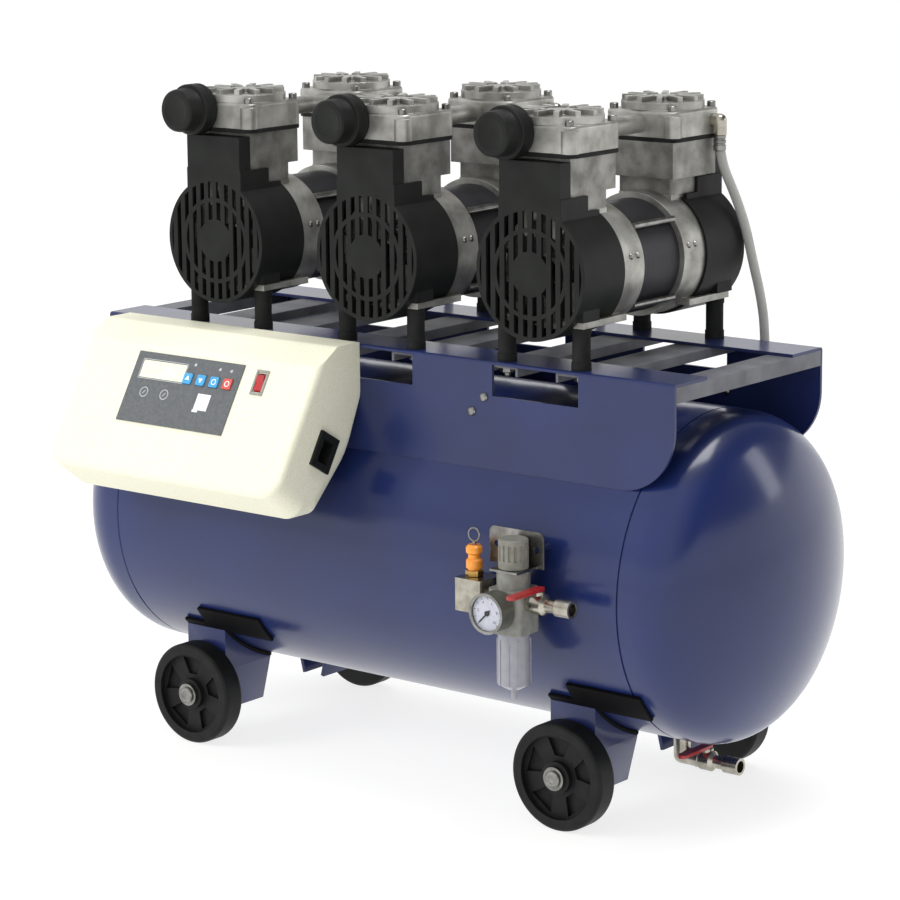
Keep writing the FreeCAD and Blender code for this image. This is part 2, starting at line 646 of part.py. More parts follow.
def cylinders():
    block = body("cylinder_block")
    outline = sketch(block, "block_outline", "XY_Plane", "block_foot - shaft_height")
    rectangle(outline, ("-block_half", "block_half"),
              ("-head_along - block_front", "-head_along + block_back"))
    tall = pad(block, "block_pad", outline, "block_tall")
    round_edges(block, "block_round", tall, "block_round",
                lambda e: along(e, vec(0, 0, 1)))
    chest = sketch(block, "chest_outline", "XY_Plane", "block_top - shaft_height")
    rectangle(chest, ("-chest_out", "block_half"),
              ("-head_along - block_front + 1", "-head_along + chest_out"))
    pad(block, "chest_pad", chest, "block_tall - chest_low", reverse=True)
    bore = sketch(block, "block_bore", "XY_Plane", "block_top - shaft_height")
    circle(bore, "bore_radius", "0", "-head_along")
    pocket(block, "block_hole", bore, "block_tall")
    node("cylinders", group("blocks", *at_pumps("block", block)))


def head_outline(owner, name, z):
    outline = sketch(owner, name + "_outline", "XY_Plane", z)
    rectangle(outline, ("-head_half", "head_half"),
              ("-head_along - head_half + 1", "-head_along + head_half - 1"))
    return outline


def heads():
    seal = body("gasket")
    outline = head_outline(seal, "gasket", "block_top - shaft_height")
    flat = pad(seal, "gasket_pad", outline, "gasket")
    round_edges(seal, "gasket_round", flat, "head_round", lambda e: along(e, vec(0, 0, 1)))
    bore = sketch(seal, "gasket_bore", "XY_Plane", "block_top + gasket - shaft_height")
    circle(bore, "bore_radius", "0", "-head_along")
    pocket(seal, "gasket_hole", bore, "gasket")
    node("head_gaskets", group("gaskets", *at_pumps("gasket", seal)))

    foot = "block_top + gasket - shaft_height"
    head = body("head")
    outline = head_outline(head, "head", foot)
    block = pad(head, "head_pad", outline, "head_height")
    rounded = round_edges(head, "head_round_off", block, "head_round",
                          lambda e: along(e, vec(0, 0, 1)))
    top = f"{foot} + head_height"
    z_top = value(top)
    round_edges(head, "head_top_round", rounded, "head_edge",
                lambda e: abs(e.CenterOfMass.z - z_top) < 0.01)
    cap = body("head_cap")
    disc = sketch(cap, "cap_disc", "XY_Plane")
    circle(disc, "disc_radius")
    pad(cap, "cap_pad", disc, "disc_height")
    rib = sketch(cap, "cap_rib", "XY_Plane", "disc_height")
    rectangle(rib, ("disc_eye + 2", "disc_radius - 1"), ("-fin_width / 2", "fin_width / 2"))
    ribs = pad(cap, "cap_rib_pad", rib, "fin_height")
    polar(cap, "cap_ribs", ribs, "Z_Axis", 12)
    eye = sketch(cap, "cap_eye", "XY_Plane", "disc_height")
    circle(eye, "disc_eye")
    pad(cap, "cap_eye_pad", eye, "fin_height - 1")
    finned = copy("finned_cap", cap, "0", "-head_along", top)
    ports = [cyl(f"head_port_{i}", "port_boss", "head_height - 4", x, y, foot)
             for i, (x, y) in enumerate((
                 ("head_half - port_boss + 2", "-head_along - head_half + port_boss - 1"),
                 ("-head_half + port_boss - 2", "-head_along + head_half - port_boss + 1")))]
    whole = fuse("head_whole", head, finned, *ports)
    node("cylinder_heads", group("head_set", *at_pumps("head", whole)))


def moving_gear():
    bore = "crank_radius + running_gap"
    wide = "crank_width - 0.6"
    link = cut("rod_link", fuse("rod_solids",
                                cyl("rod_big_end", "rod_ring", wide, y=f"-({wide}) / 2",
                                    axis="y"),
                                box("rod_shank_bar", ("-rod_shank", "rod_shank"),
                                    ("-shank_thick", "shank_thick"),
                                    ("crank_radius + 2", "rod_length - 2")),
                                cyl("piston_disc", "piston_radius", "piston_height",
                                    z="rod_length - 3"),
                                cone("piston_under", "rod_shank + 1", "piston_radius - 2",
                                     "piston_height", z="rod_length - piston_height - 3")),
               cyl("rod_bore", bore, "2 * crank_width", y="-crank_width", axis="y"))
    fan = fan_wheel()
    end_at = "fan_along + blade_chord / 2 + shaft_proud"
    half_turn = turn(vec(0, 0, 1), 180)
    for pump, x in pump_places.items():
        spindle = cyl(pump + "_spindle", "shaft_radius", f"2 * ({end_at})", x,
                      f"-({end_at})", "shaft_height", "y")
        rotor = cyl(pump + "_rotor", "rotor_radius", "2 * stator_half - 2", x,
                    "-stator_half + 1", "shaft_height", "y")
        cranks = [cyl(f"{pump}_crank_{end}", "crank_radius", "crank_width", x,
                      f"{side}head_along - crank_width / 2",
                      f"shaft_height + {throw} * crank_throw", "y")
                  for end, side, throw in (("front", "-", 1), ("rear", "", -1))]
        node(f"{pump}_shaft", fuse(f"{pump}_crankshaft", spindle, rotor, *cranks))
        node(f"{pump}_fans", group(
            f"{pump}_fan_pair", copy(f"{pump}_fan_front", fan, x, "-fan_along", "shaft_height"),
            copy(f"{pump}_fan_rear", fan, x, "fan_along", "shaft_height", half_turn)))
        node(f"{pump}_front_piston", group(f"{pump}_rod_front", copy(
            f"{pump}_link_front", link, x, "-head_along", "shaft_height + crank_throw")))
        node(f"{pump}_rear_piston", group(f"{pump}_rod_rear", copy(
            f"{pump}_link_rear", link, x, "head_along", "shaft_height - crank_throw")))


def fan_wheel():
    """Seven pitched blades round a hub, centred on its own axis along Y."""
    fan = body("fan")
    hub = sketch(fan, "fan_boss", "XZ_Plane")
    circle(hub, "fan_hub")
    pad(fan, "fan_boss_pad", hub, "blade_chord", midplane=True)
    section = sketch(fan, "fan_blade", "YZ_Plane", "fan_hub - 1")
    polygon(section, [
        (f"{a} * blade_chord / 2 * cos(blade_pitch) - {b} * blade_thick / 2 * sin(blade_pitch)",
         f"{a} * blade_chord / 2 * sin(blade_pitch) + {b} * blade_thick / 2 * cos(blade_pitch)")
        for a, b in ((-1, -1), (1, -1), (1, 1), (-1, 1))])
    blade = pad(fan, "fan_blade_pad", section, "fan_radius - fan_hub + 1")
    polar(fan, "fan_blades", blade, "Y_Axis", 7)
    bore = sketch(fan, "fan_bore", "XZ_Plane", "blade_chord / 2")
    circle(bore, "shaft_radius")
    pocket(fan, "fan_bore_cut", bore, "blade_chord")
    return fan


def filters_and_tubes():
    """One intake filter on each front head, and a tube between each pair of heads."""
    face = "head_along + head_half - 1"
    filters = []
    for pump, x in pump_places.items():
        at = f"{x} - filter_across"
        filters.append(fuse(
            f"{pump}_filter",
            cyl(f"{pump}_filter_base", "filter_radius", "filter_base", at,
                f"-({face}) - filter_base", "filter_height", "y"),
            cone(f"{pump}_filter_cap", "filter_cap", "filter_cap + 1",
                 "filter_length - filter_base + 1", at, f"-({face}) - filter_length",
                 "filter_height", "y")))
    node("intake_filters", group("filters", *filters))
    inner = "head_along - head_half + 1"
    tubes = [cyl(f"{pump}_tube", "tube_radius", f"2 * ({inner})", x, f"-({inner})",
                 "tube_height", "y") for pump, x in pump_places.items()]
    node("transfer_tubes", group("tubes", *tubes))


# hoses and their fittings

def hose_path(x):
    """The hand-set route of a discharge hose, from its head down behind the deck."""
    return [vec(x + 47.2, 102, 608), vec(x + 47.2, 102, 586), vec(x + 56, 117, 549),
            vec(x + 63.5, 123, 519), vec(x + 68.5, 126, 491), vec(x + 75.5, 128.5, 461),
            vec(x + 80, 130, 432), vec(x + 81, 130, 390), vec(x + 81, 130, 334)]


def rounded_wire(points):
    """Straight runs joined by tangent arcs as large as the runs allow."""
    edges, radii, start = [], [], points[0]
    for before, corner, after in zip(points, points[1:], points[2:]):
        run_in, run_out = corner - before, after - corner
        bend = run_in.getAngle(run_out)
        back = 0.45 * min(run_in.Length, run_out.Length)
        radii.append(back / math.tan(bend / 2))
        one = corner - vec(run_in).normalize() * back
        two = corner + vec(run_out).normalize() * back
        mid = corner + ((one + two) / 2 - corner).normalize() * (
            radii[-1] / math.cos(bend / 2) - radii[-1])
        edges += [Part.LineSegment(start, one).toShape(), Part.Arc(one, mid, two).toShape()]
        start = two
    edges.append(Part.LineSegment(start, points[-1]).toShape())
    return Part.Wire(edges), radii


def hoses():
    tubes = []
    for side in (-1, 0, 1):
        points = hose_path(side * value("pump_pitch"))
        wire, radii = rounded_wire(points)
        radius = value("hose_radius")
        profile = Part.Wire(Part.makeCircle(radius, points[0], points[1] - points[0]))
        tube = wire.makePipeShell([profile], True, False)
        tubes.append(tube)
        ratio = tube.Volume / (math.pi * radius ** 2 * wire.Length)
        print(f"hose at {side}: length {wire.Length:.1f}, volume ratio {ratio:.4f}, "
              f"radii {', '.join(f'{r:.0f}' for r in radii)}")
    feature = make("Part::Feature", "hose_set")
    feature.Shape = Part.makeCompound(tubes)
    node("discharge_hoses", group("hoses", feature))


# wheels

def wheels():
    half = "wheel_width / 2"
    wheel = body("wheel")
    rim = sketch(wheel, "wheel_disc", "XZ_Plane")
    circle(rim, "wheel_radius")
    tyre = pad(wheel, "wheel_pad", rim, "wheel_width", midplane=True)
    round_edges(wheel, "tyre_edges", tyre, "tyre_round", lambda e: True)
    dish = sketch(wheel, "wheel_dish", "XZ_Plane", half)
    circle(dish, "rim_radius")
    circle(dish, "wheel_hub")
    pocket(wheel, "dish_front", dish, "dish_depth")
    gap = sketch(wheel, "wheel_gap", "XZ_Plane", f"{half} - dish_depth")
    polygon(gap, [("-wheel_hub / 3", "wheel_hub + 4"), ("wheel_hub / 3", "wheel_hub + 4"),
                  ("rim_radius / 3", "rim_radius - 4"), ("-rim_radius / 3", "rim_radius - 4")])
    gaps = pocket(wheel, "gap_front", gap, "pocket_depth")
    polar(wheel, "gap_ring", gaps, "Y_Axis", 5)
    bore = sketch(wheel, "wheel_bore", "XZ_Plane", half)
    circle(bore, "axle_radius + running_gap")
    pocket(wheel, "wheel_axle_hole", bore, "wheel_width")
    centre = f"wheel_face - {half}"
    half_turn = turn(vec(0, 0, 1), 180)
    for name, x, y, facing in (("front_left", "-wheel_along", f"-({centre})", turn()),
                               ("front_right", "wheel_along", f"-({centre})", turn()),
                               ("rear_left", "-wheel_along", centre, half_turn),
                               ("rear_right", "wheel_along", centre, half_turn)):
        node(f"wheel_{name}", group(f"{name}_wheel", copy(
            f"{name}_wheel_copy", wheel, x, y, "wheel_radius", facing)))


def at_corners(name, source):
    pieces = []
    for i, x in enumerate(("-wheel_along", "wheel_along")):
        pieces.append(copy(f"{name}_front_{i}", source, x))
    rear = mirror(name + "_rear", source, vec(0, 1, 0))
    for i, x in enumerate(("-wheel_along", "wheel_along")):
        pieces.append(copy(f"{name}_rear_{i}", rear, x))
    return pieces


def wheel_brackets():
    """A folded bracket: a front web that narrows to the axle, and two side gussets."""
    bracket = body("leg")
    web = sketch(bracket, "leg_web", "XZ_Plane", "leg_front")
    polygon(web, [("-leg_half", "tank_height"), ("leg_half", "tank_height"),
                  ("leg_half", "wheel_radius + leg_waist"),
                  ("leg_narrow", "wheel_radius - leg_foot"),
                  ("-leg_narrow", "wheel_radius - leg_foot"),
                  ("-leg_half", "wheel_radius + leg_waist")])
    pad(bracket, "leg_pad", web, "leg_depth", reverse=True)
    room = sketch(bracket, "leg_room", "XZ_Plane", "leg_front - leg_sheet")
    polygon(room, [("-leg_half + leg_sheet", "tank_height + 1"),
                   ("leg_half - leg_sheet", "tank_height + 1"),
                   ("leg_half - leg_sheet", "wheel_radius + leg_waist"),
                   ("leg_narrow - leg_sheet", "wheel_radius - leg_foot - 1"),
                   ("-leg_narrow + leg_sheet", "wheel_radius - leg_foot - 1"),
                   ("-leg_half + leg_sheet", "wheel_radius + leg_waist")])
    pocket(bracket, "leg_inside", room, "leg_depth")
    slope = sketch(bracket, "leg_slope", "YZ_Plane")
    polygon(slope, [("-leg_front + leg_sheet + 2", "wheel_radius - leg_foot - 1"),
                    ("-leg_front + leg_foot + 5", "wheel_radius"),
                    ("-leg_front + leg_depth", "wheel_radius + leg_waist + 6"),
                    ("-leg_front + leg_depth + 1", "wheel_radius - leg_foot - 1")])
    pocket(bracket, "leg_taper", slope, "3 * leg_half", midplane=True)
    saddle = sketch(bracket, "leg_saddle", "YZ_Plane")
    circle(saddle, "tank_radius + pad_thick", "0", "tank_height")
    pocket(bracket, "leg_seat", saddle, "3 * leg_half", midplane=True)
    hole = sketch(bracket, "leg_hole", "XZ_Plane", "leg_front")
    circle(hole, "axle_radius", "0", "wheel_radius")
    pocket(bracket, "leg_axle_hole", hole, "leg_sheet")
    node("wheel_brackets", group("brackets", *at_corners("leg_at", bracket)))

    ring = cut("pad_ring", cyl("pad_outer", "tank_radius + pad_thick", "leg_half + pad_reach",
                               "-leg_half", z="tank_height", axis="x"),
               cyl("pad_inner", "tank_radius", "leg_half + pad_reach + 2", "-leg_half - 1",
                   z="tank_height", axis="x"))
    lower = box("pad_band", ("-leg_half", "leg_half"), ("-tank_radius", "0"),
                ("pad_foot", "pad_step"))
    upper = box("pad_strip", ("pad_over", "pad_reach"), ("-tank_radius", "0"),
                ("pad_step - leg_half - pad_over", "pad_top"))
    rubber = common("pad_piece", ring, fuse("pad_zone", lower, upper))
    node("wheel_pads", group("pads", *at_corners("pad_at", rubber)))

    bolt = fuse("axle_bolt", cyl("axle_pin", "axle_radius",
                                 "wheel_face - leg_front + 3 * leg_sheet", y="-wheel_face", z="wheel_radius", axis="y"),
                cyl("axle_cap", "cap_radius", "cap_height - wheel_play",
                    y="-wheel_face - cap_height", z="wheel_radius", axis="y"),
                cyl("axle_end", "axle_radius", "wheel_play + 1", y="-wheel_face - wheel_play - 1",
                    z="wheel_radius", axis="y"),
                cyl("axle_spacer", "axle_radius + collar", "spacer",
                    y="-leg_front - spacer", z="wheel_radius", axis="y"),
                cyl("axle_nut", "axle_radius + collar", "collar + 1",
                    y="-leg_front + leg_sheet",
                    z="wheel_radius", axis="y"))
    node("axle_bolts", group("bolts", *at_corners("bolt_at", bolt)))


# control box

def on_face(name, source, x="0", drop="0", lift="0", tilt="0"):
    """Set a piece on the sloping front: x as it is, then down the slope, then outward."""
    obj = copy(name, source, x,
               f"-face_across - ({drop}) * sin(face_turn) - ({lift}) * cos(face_turn)",
               f"face_height - ({drop}) * cos(face_turn) + ({lift}) * sin(face_turn)",
               turn(vec(1, 0, 0), 1))
    obj.setExpression("Placement.Rotation.Angle", formula(f"90 - face_turn + ({tilt})"))
    return obj


def key_places():
    return [f"key_first + {i} * key_step" for i in range(4)]


def control_box():
    """A folded casing with a sloping front, hollow and open to the deck plate behind."""
    casing = body("casing")
    fold = sketch(casing, "casing_fold", "YZ_Plane", "box_left")
    polygon(fold, [("-deck_out", "box_top - box_back"), ("-deck_out", "box_top"),
                   ("-face_across + box_roof", "box_top"), ("-face_across", "face_height"),
                   ("-chin_reach", "chin_height"), ("-chin_front", "box_foot"),
                   ("-chin_back", "box_foot"), ("-chin_rise", "box_foot + chin_lift")])
    block = pad(casing, "casing_pad", fold, "box_width")
    low = value("box_foot + chin_lift - 1")
    reach = value("chin_reach - 1")
    ends = (value("box_right"), value("box_left"))

    def lower_ends(edge):
        mid = edge.CenterOfMass
        return mid.z < low and -reach < mid.y and min(abs(mid.x - e) for e in ends) < 0.1
    corners = round_edges(casing, "casing_corners", block, "chin_round", lower_ends)
    shell = casing.newObject("PartDesign::Thickness", "casing_shell")
    back = value("deck_out")
    open_faces = [f"Face{i}" for i, f in enumerate(corners.Shape.Faces, start=1)
                  if abs(f.CenterOfMass.y + back) < 0.1]
    shell.Base = (corners, open_faces)
    shell.Reversed = True
    bind(shell, Value="box_wall")
    doc.recompute()
    round_edges(casing, "casing_bends", shell, "fold_round",
                lambda e: along(e, vec(1, 0, 0)) and e.CenterOfMass.y < -back - 4)

    panel = box("panel_plate", ("panel_left", "panel_right"),
                ("-panel_drop - panel_height", "-panel_drop"), ("0", "panel_thick"))
    display = box("display_recess", ("display_left", "display_right"),
                  ("-display_drop - display_height", "-display_drop"),
                  ("panel_thick - display_sunk", "panel_thick + 1"))
    key_holes = [box(f"key_hole_{i}",
                     (f"{x} - key_width / 2 - key_gap", f"{x} + key_width / 2 + key_gap"),
                     ("-key_drop - key_height / 2 - key_gap",
                      "-key_drop + key_height / 2 + key_gap"),
                     ("-box_wall - 1", "panel_thick + 1"))
                 for i, x in enumerate(key_places())]
    overlay = cut("overlay", panel, display, *key_holes)
    node("control_panel", on_face("panel_on_face", overlay))

    rocker_hole = box("rocker_hole", ("rocker_at - rocker_width / 2 - key_gap",
                                      "rocker_at + rocker_width / 2 + key_gap"),
                      ("-rocker_drop - rocker_radius - key_gap",
                       "-rocker_drop + rocker_radius + key_gap"), ("-box_wall - 1", "5"))
    front_holes = on_face("front_holes", group("front_tools", *key_holes, rocker_hole))
    slot = box("socket_hole", ("-socket_depth", "5"),
               ("-socket_long / 2 - socket_fit", "socket_long / 2 + socket_fit"),
               ("-socket_tall / 2 - socket_fit", "socket_tall / 2 + socket_fit"))
    node("control_casing", cut("casing_cut", casing, front_holes,
                               on_side("side_hole", slot)))


def on_side(name, source):
    """Set a piece on the right side of the casing, turned with the slope of its front."""
    obj = copy(name, source, "box_right", "-socket_across", "socket_height",
               turn(vec(1, 0, 0), 1))
    obj.setExpression("Placement.Rotation.Angle", formula("90 - face_turn"))
    return obj


def power_socket():
    flange = box("socket_flange_plate", ("0", "socket_flange"),
                 ("-socket_long / 2 - socket_rim", "socket_long / 2 + socket_rim"),
                 ("-socket_tall / 2 - socket_rim", "socket_tall / 2 + socket_rim"))
    shell = box("socket_body", ("-socket_depth", "1"), ("-socket_long / 2", "socket_long / 2"),
                ("-socket_tall / 2", "socket_tall / 2"))
    room = box("socket_room", ("-socket_depth + socket_wall", "socket_flange + 1"),
               ("-socket_long / 2 + socket_wall", "socket_long / 2 - socket_wall"),
               ("-socket_tall / 2 + socket_wall", "socket_tall / 2 - socket_wall"))
    pins = [box(f"pin_{i}", ("-socket_depth + 1", "-pin_sunk"),
                (f"{y} - pin_thick / 2", f"{y} + pin_thick / 2"),
                (f"{z} - pin_long / 2", f"{z} + pin_long / 2"))
            for i, (y, z) in enumerate((("-pin_apart", "-pin_long / 2"), ("0", "3 * pin_long / 4"),
                                        ("pin_apart", "-pin_long / 2")))]
    inlet = fuse("socket", cut("socket_shell", fuse("socket_solids", flange, shell), room), *pins)
    node("power_inlet", on_side("socket_on_side", inlet))


def controls():
    """Keys that press in against the board, and a rocker that tips on its own pin."""
    cap_top = "panel_thick + key_proud"
    board_top = "-box_wall - board_gap"
    for i, x in enumerate(key_places(), start=1):
        key = body(f"key_body_{i}")
        outline = sketch(key, f"key_outline_{i}", "XY_Plane", cap_top)
        rectangle(outline, ("-key_width / 2", "key_width / 2"),
                  ("-key_height / 2", "key_height / 2"))
        cap = pad(key, f"key_cap_{i}", outline, cap_top + " + box_wall", reverse=True)
        round_edges(key, f"key_edges_{i}", cap, "key_round",
                    lambda e: along(e, vec(0, 0, 1)))
        stem = sketch(key, f"key_stem_{i}", "XY_Plane", "-box_wall")
        circle(stem, "key_width / 4")
        pad(key, f"key_stem_pad_{i}", stem, "board_gap - key_travel - key_gap", reverse=True)
        node(f"key_{i}", on_face(f"key_{i}_on_face", key, x, "key_drop"))

    rocker = body("rocker")
    profile = sketch(rocker, "rocker_profile", "YZ_Plane")
    edge_up = "sqrt(rocker_radius ^ 2 - (rocker_radius - 2.2) ^ 2)"
    reach = "(rocker_radius - 2.2)"
    polygon(profile, [(reach, edge_up), ("0", f"{edge_up} - 1.2"), (f"-{reach}", edge_up),
                      (f"-{reach}", f"-{edge_up}"), (reach, f"-{edge_up}")],
            arcs={2: "rocker_radius", 4: "rocker_radius"})
    pad(rocker, "rocker_pad", profile, "rocker_width", midplane=True)
    hole = sketch(rocker, "rocker_pin_hole", "YZ_Plane", "rocker_width / 2")
    circle(hole, "rocker_pin + running_gap")
    pocket(rocker, "rocker_pin_cut", hole, "rocker_width")
    node("power_rocker", on_face("rocker_on_face", rocker, "rocker_at", "rocker_drop",
                                 "-rocker_sunk", "rocker_tilt"))

    cheek = "(rocker_width / 2 + key_gap)"
    end = "(rocker_radius + key_gap)"
    house = box("switch_outer",
                (f"rocker_at - {cheek} - switch_wall", f"rocker_at + {cheek} + switch_wall"),
                (f"-rocker_drop - {end} - switch_wall", f"-rocker_drop + {end} + switch_wall"),
                ("-box_wall - switch_depth", "-box_wall"))
    hollow = box("switch_room", (f"rocker_at - {cheek}", f"rocker_at + {cheek}"),
                 (f"-rocker_drop - {end}", f"-rocker_drop + {end}"),
                 ("-box_wall - switch_depth + switch_wall", "1"))
    pin = cyl("switch_pin", "rocker_pin", "rocker_width + switch_wall",
              "rocker_at - rocker_width / 2 - switch_wall / 2", "-rocker_drop",
              "-rocker_sunk", "x")
    switch = fuse("switch", cut("switch_case", house, hollow), pin)
    board = box("board_plate", ("panel_left + board_edge", "panel_right - board_edge"),
                ("-panel_drop - panel_height + board_edge", "-panel_drop - board_edge"),
                (f"{board_top} - board_thick", board_top))
    posts = [cyl(f"board_post_{i}{j}", "post_radius", "board_gap", x, y, board_top)
             for i, x in enumerate(("panel_left + post_inset", "panel_right - post_inset"))
             for j, y in enumerate(("-panel_drop - panel_height + post_inset",
                                    "-panel_drop - post_inset"))]
    node("control_board", on_face("board_on_face", group("board_set", switch, fuse(
        "board", board, *posts))))


# outlet group: manifold, safety valve, regulator with gauge and bowl, ball valves

def outlet_group():
    block = body("manifold")
    outline = sketch(block, "manifold_outline", "XY_Plane", "group_height - block_size / 2")
    rectangle(outline, ("block_left", "block_left + block_size"),
              ("-group_across - block_size / 2", "-group_across + block_size / 2"))
    tall = pad(block, "manifold_pad", outline, "block_size")
    round_edges(block, "manifold_round", tall, "block_edge",
                lambda e: along(e, vec(0, 0, 1)))
    back = sketch(block, "manifold_back", "XZ_Plane", "outlet_face")
    circle(back, "port_radius", "outlet_at", "group_height")
    pocket(block, "manifold_in", back, "block_size / 2 + nipple_radius", reverse=True)
    side = sketch(block, "manifold_side", "YZ_Plane", "block_left + block_size")
    circle(side, "nipple_radius - nipple_wall", "-group_across", "group_height")
    pocket(block, "manifold_out", side, "block_size / 2")
    top = sketch(block, "manifold_top", "XY_Plane", "group_height + block_size / 2")
    circle(top, "relief_bore", "valve_at", "-group_across")
    pocket(block, "manifold_up", top, "block_size / 2")
    node("outlet_manifold", group("manifold_set", block))

    valve = body("relief")
    profile = sketch(valve, "relief_profile", "XZ_Plane")
    base = "group_height + block_size / 2"
    waist = "valve_radius - valve_waist"
    polygon(profile, [("relief_bore", base), ("relief_neck", base),
                      ("relief_neck", "valve_foot"), ("valve_radius", "valve_foot"),
                      ("valve_radius", "valve_foot + valve_tall / 3"),
                      (waist, "valve_foot + valve_tall / 3 + valve_waist"),
                      (waist, "valve_top - valve_tall / 3 - valve_waist"),
                      ("valve_radius", "valve_top - valve_tall / 3"),
                      ("valve_radius", "valve_top - valve_waist"), (waist, "valve_top"),
                      ("relief_bore", "valve_top")])
    spin(valve, "relief_spin", profile, "Z_Axis")
    node("safety_valve", group("relief_set", copy("relief_at", valve, "valve_at",
                                                  "-group_across")))
    ring = make("Part::Torus", "pull_ring")
    bind(ring, Radius1="ring_radius", Radius2="ring_wire")
    place(ring, "valve_at", "-group_across", "valve_top + ring_lift + ring_radius",
          turns["y"])
    stem = cyl("pull_stem", "relief_bore - piece_gap", "valve_tall + ring_lift", "valve_at",
               "-group_across", "valve_foot")
    node("safety_valve_ring", fuse("pull", ring, stem))

    regulator()
    bracket()


def regulator():
    frame = body("regulator")
    outline = sketch(frame, "regulator_outline", "XY_Plane", "body_foot")
    rectangle(outline, ("-body_half", "body_half"), ("-body_half", "body_half"))
    block = pad(frame, "regulator_pad", outline, "body_shoulder - body_foot")
    round_edges(frame, "regulator_round", block, "body_round",
                lambda e: along(e, vec(0, 0, 1)))
    collar = sketch(frame, "regulator_collar", "XY_Plane", "body_shoulder")
    circle(collar, "collar_radius")
    pad(frame, "collar_pad", collar, "body_top - body_shoulder")
    bore = sketch(frame, "regulator_bore", "XY_Plane", "body_top")
    circle(bore, "knob_stem + running_gap")
    pocket(frame, "regulator_stem_bore", bore, "body_top - body_shoulder + 6")
    neck = cyl("gauge_neck", "7", "gauge_front - gauge_depth", y="-gauge_front + gauge_depth",
               z="gauge_height", axis="y")
    element = cyl("filter_element", "bowl_radius - bowl_wall - 4", "30", z="body_foot - 28")
    whole = fuse("regulator_whole", frame, neck, element)
    node("regulator_body", group("regulator_set", copy("regulator_at", whole, "body_at",
                                                       "-group_across")))

    knob = body("knob")
    base = sketch(knob, "knob_base", "XY_Plane", "body_top + bracket_sheet + wheel_play")
    circle(base, "knob_radius")
    solid = pad(knob, "knob_pad", base, "knob_top - body_top - bracket_sheet - wheel_play")
    top = value("knob_top")
    round_edges(knob, "knob_round", solid, "2", lambda e: abs(e.CenterOfMass.z - top) < 0.01)
    flute = sketch(knob, "knob_flute", "XY_Plane", "knob_top - 5")
    circle(flute, "knob_flute", "knob_radius")
    groove = pocket(knob, "knob_groove", flute, "14")
    polar(knob, "knob_grip", groove, "Z_Axis", 16)
    stem = sketch(knob, "knob_stem_base", "XY_Plane", "body_top + bracket_sheet + wheel_play")
    circle(stem, "knob_stem")
    pad(knob, "knob_stem_pad", stem, "14", reverse=True)
    node("regulator_knob", group("knob_set", copy("knob_at", knob, "body_at", "-group_across")))

    bowl = body("bowl")
    profile = sketch(bowl, "bowl_profile", "XZ_Plane")
    polygon(profile, [("bowl_radius - bowl_wall", "body_foot"), ("bowl_radius", "body_foot"),
                      ("bowl_radius", "bowl_foot"), ("6", "bowl_foot - 5"),
                      ("2.5", "bowl_foot - 6"), ("2.5", "bowl_tip"), ("1", "bowl_tip"),
                      ("1", "bowl_foot - 3"), ("bowl_radius - bowl_wall", "bowl_foot + 2")])
    spin(bowl, "bowl_spin", profile, "Z_Axis")
    rib = sketch(bowl, "bowl_rib", "XY_Plane", "bowl_foot")
    rectangle(rib, ("bowl_radius - 0.5", "bowl_radius + 0.7"), ("-0.8", "0.8"))
    ribs = pad(bowl, "bowl_rib_pad", rib, "body_foot - bowl_foot - 6")
    polar(bowl, "bowl_ribs", ribs, "Z_Axis", 10)
    node("filter_bowl", group("bowl_set", copy("bowl_at", bowl, "body_at", "-group_across")))

    gauge = body("gauge")
    disc = sketch(gauge, "gauge_disc", "XZ_Plane", "gauge_front")
    circle(disc, "gauge_radius")
    solid = pad(gauge, "gauge_pad", disc, "gauge_depth", reverse=True)
    front = value("-gauge_front")
    round_edges(gauge, "gauge_round", solid, "1", lambda e: abs(e.CenterOfMass.y - front) < 0.01)
    dial = sketch(gauge, "gauge_dial", "XZ_Plane", "gauge_front")
    circle(dial, "gauge_radius - gauge_rim")
    pocket(gauge, "gauge_recess", dial, "dial_sunk")
    hole = sketch(gauge, "gauge_hole", "XZ_Plane", "gauge_front")
    circle(hole, "needle_pin + running_gap")
    pocket(gauge, "gauge_pin_hole", hole, "dial_sunk + 6")
    node("pressure_gauge", group("gauge_set", copy("gauge_at", gauge, "body_at",
                                                   "-group_across", "gauge_height")))
    face = "-gauge_front + dial_sunk"
    pointer = fuse("pointer", cyl("needle_pin_solid", "needle_pin", "5", y=f"{face} - 1.6",
                                  axis="y"),
                   cyl("needle_hub", "2.4", "1", y=f"{face} - 1.6", axis="y"),
                   box("needle_arm", ("-0.6", "0.6"), (f"{face} - 1.2", f"{face} - 0.6"),
                       ("-4", "gauge_radius - gauge_rim - 3.5")))
    place_of_rest = copy("needle_at", pointer, "body_at", "-group_across", "gauge_height",
                         turn(vec(0, 1, 0), -135))
    node("gauge_needle", group("needle_set", place_of_rest))


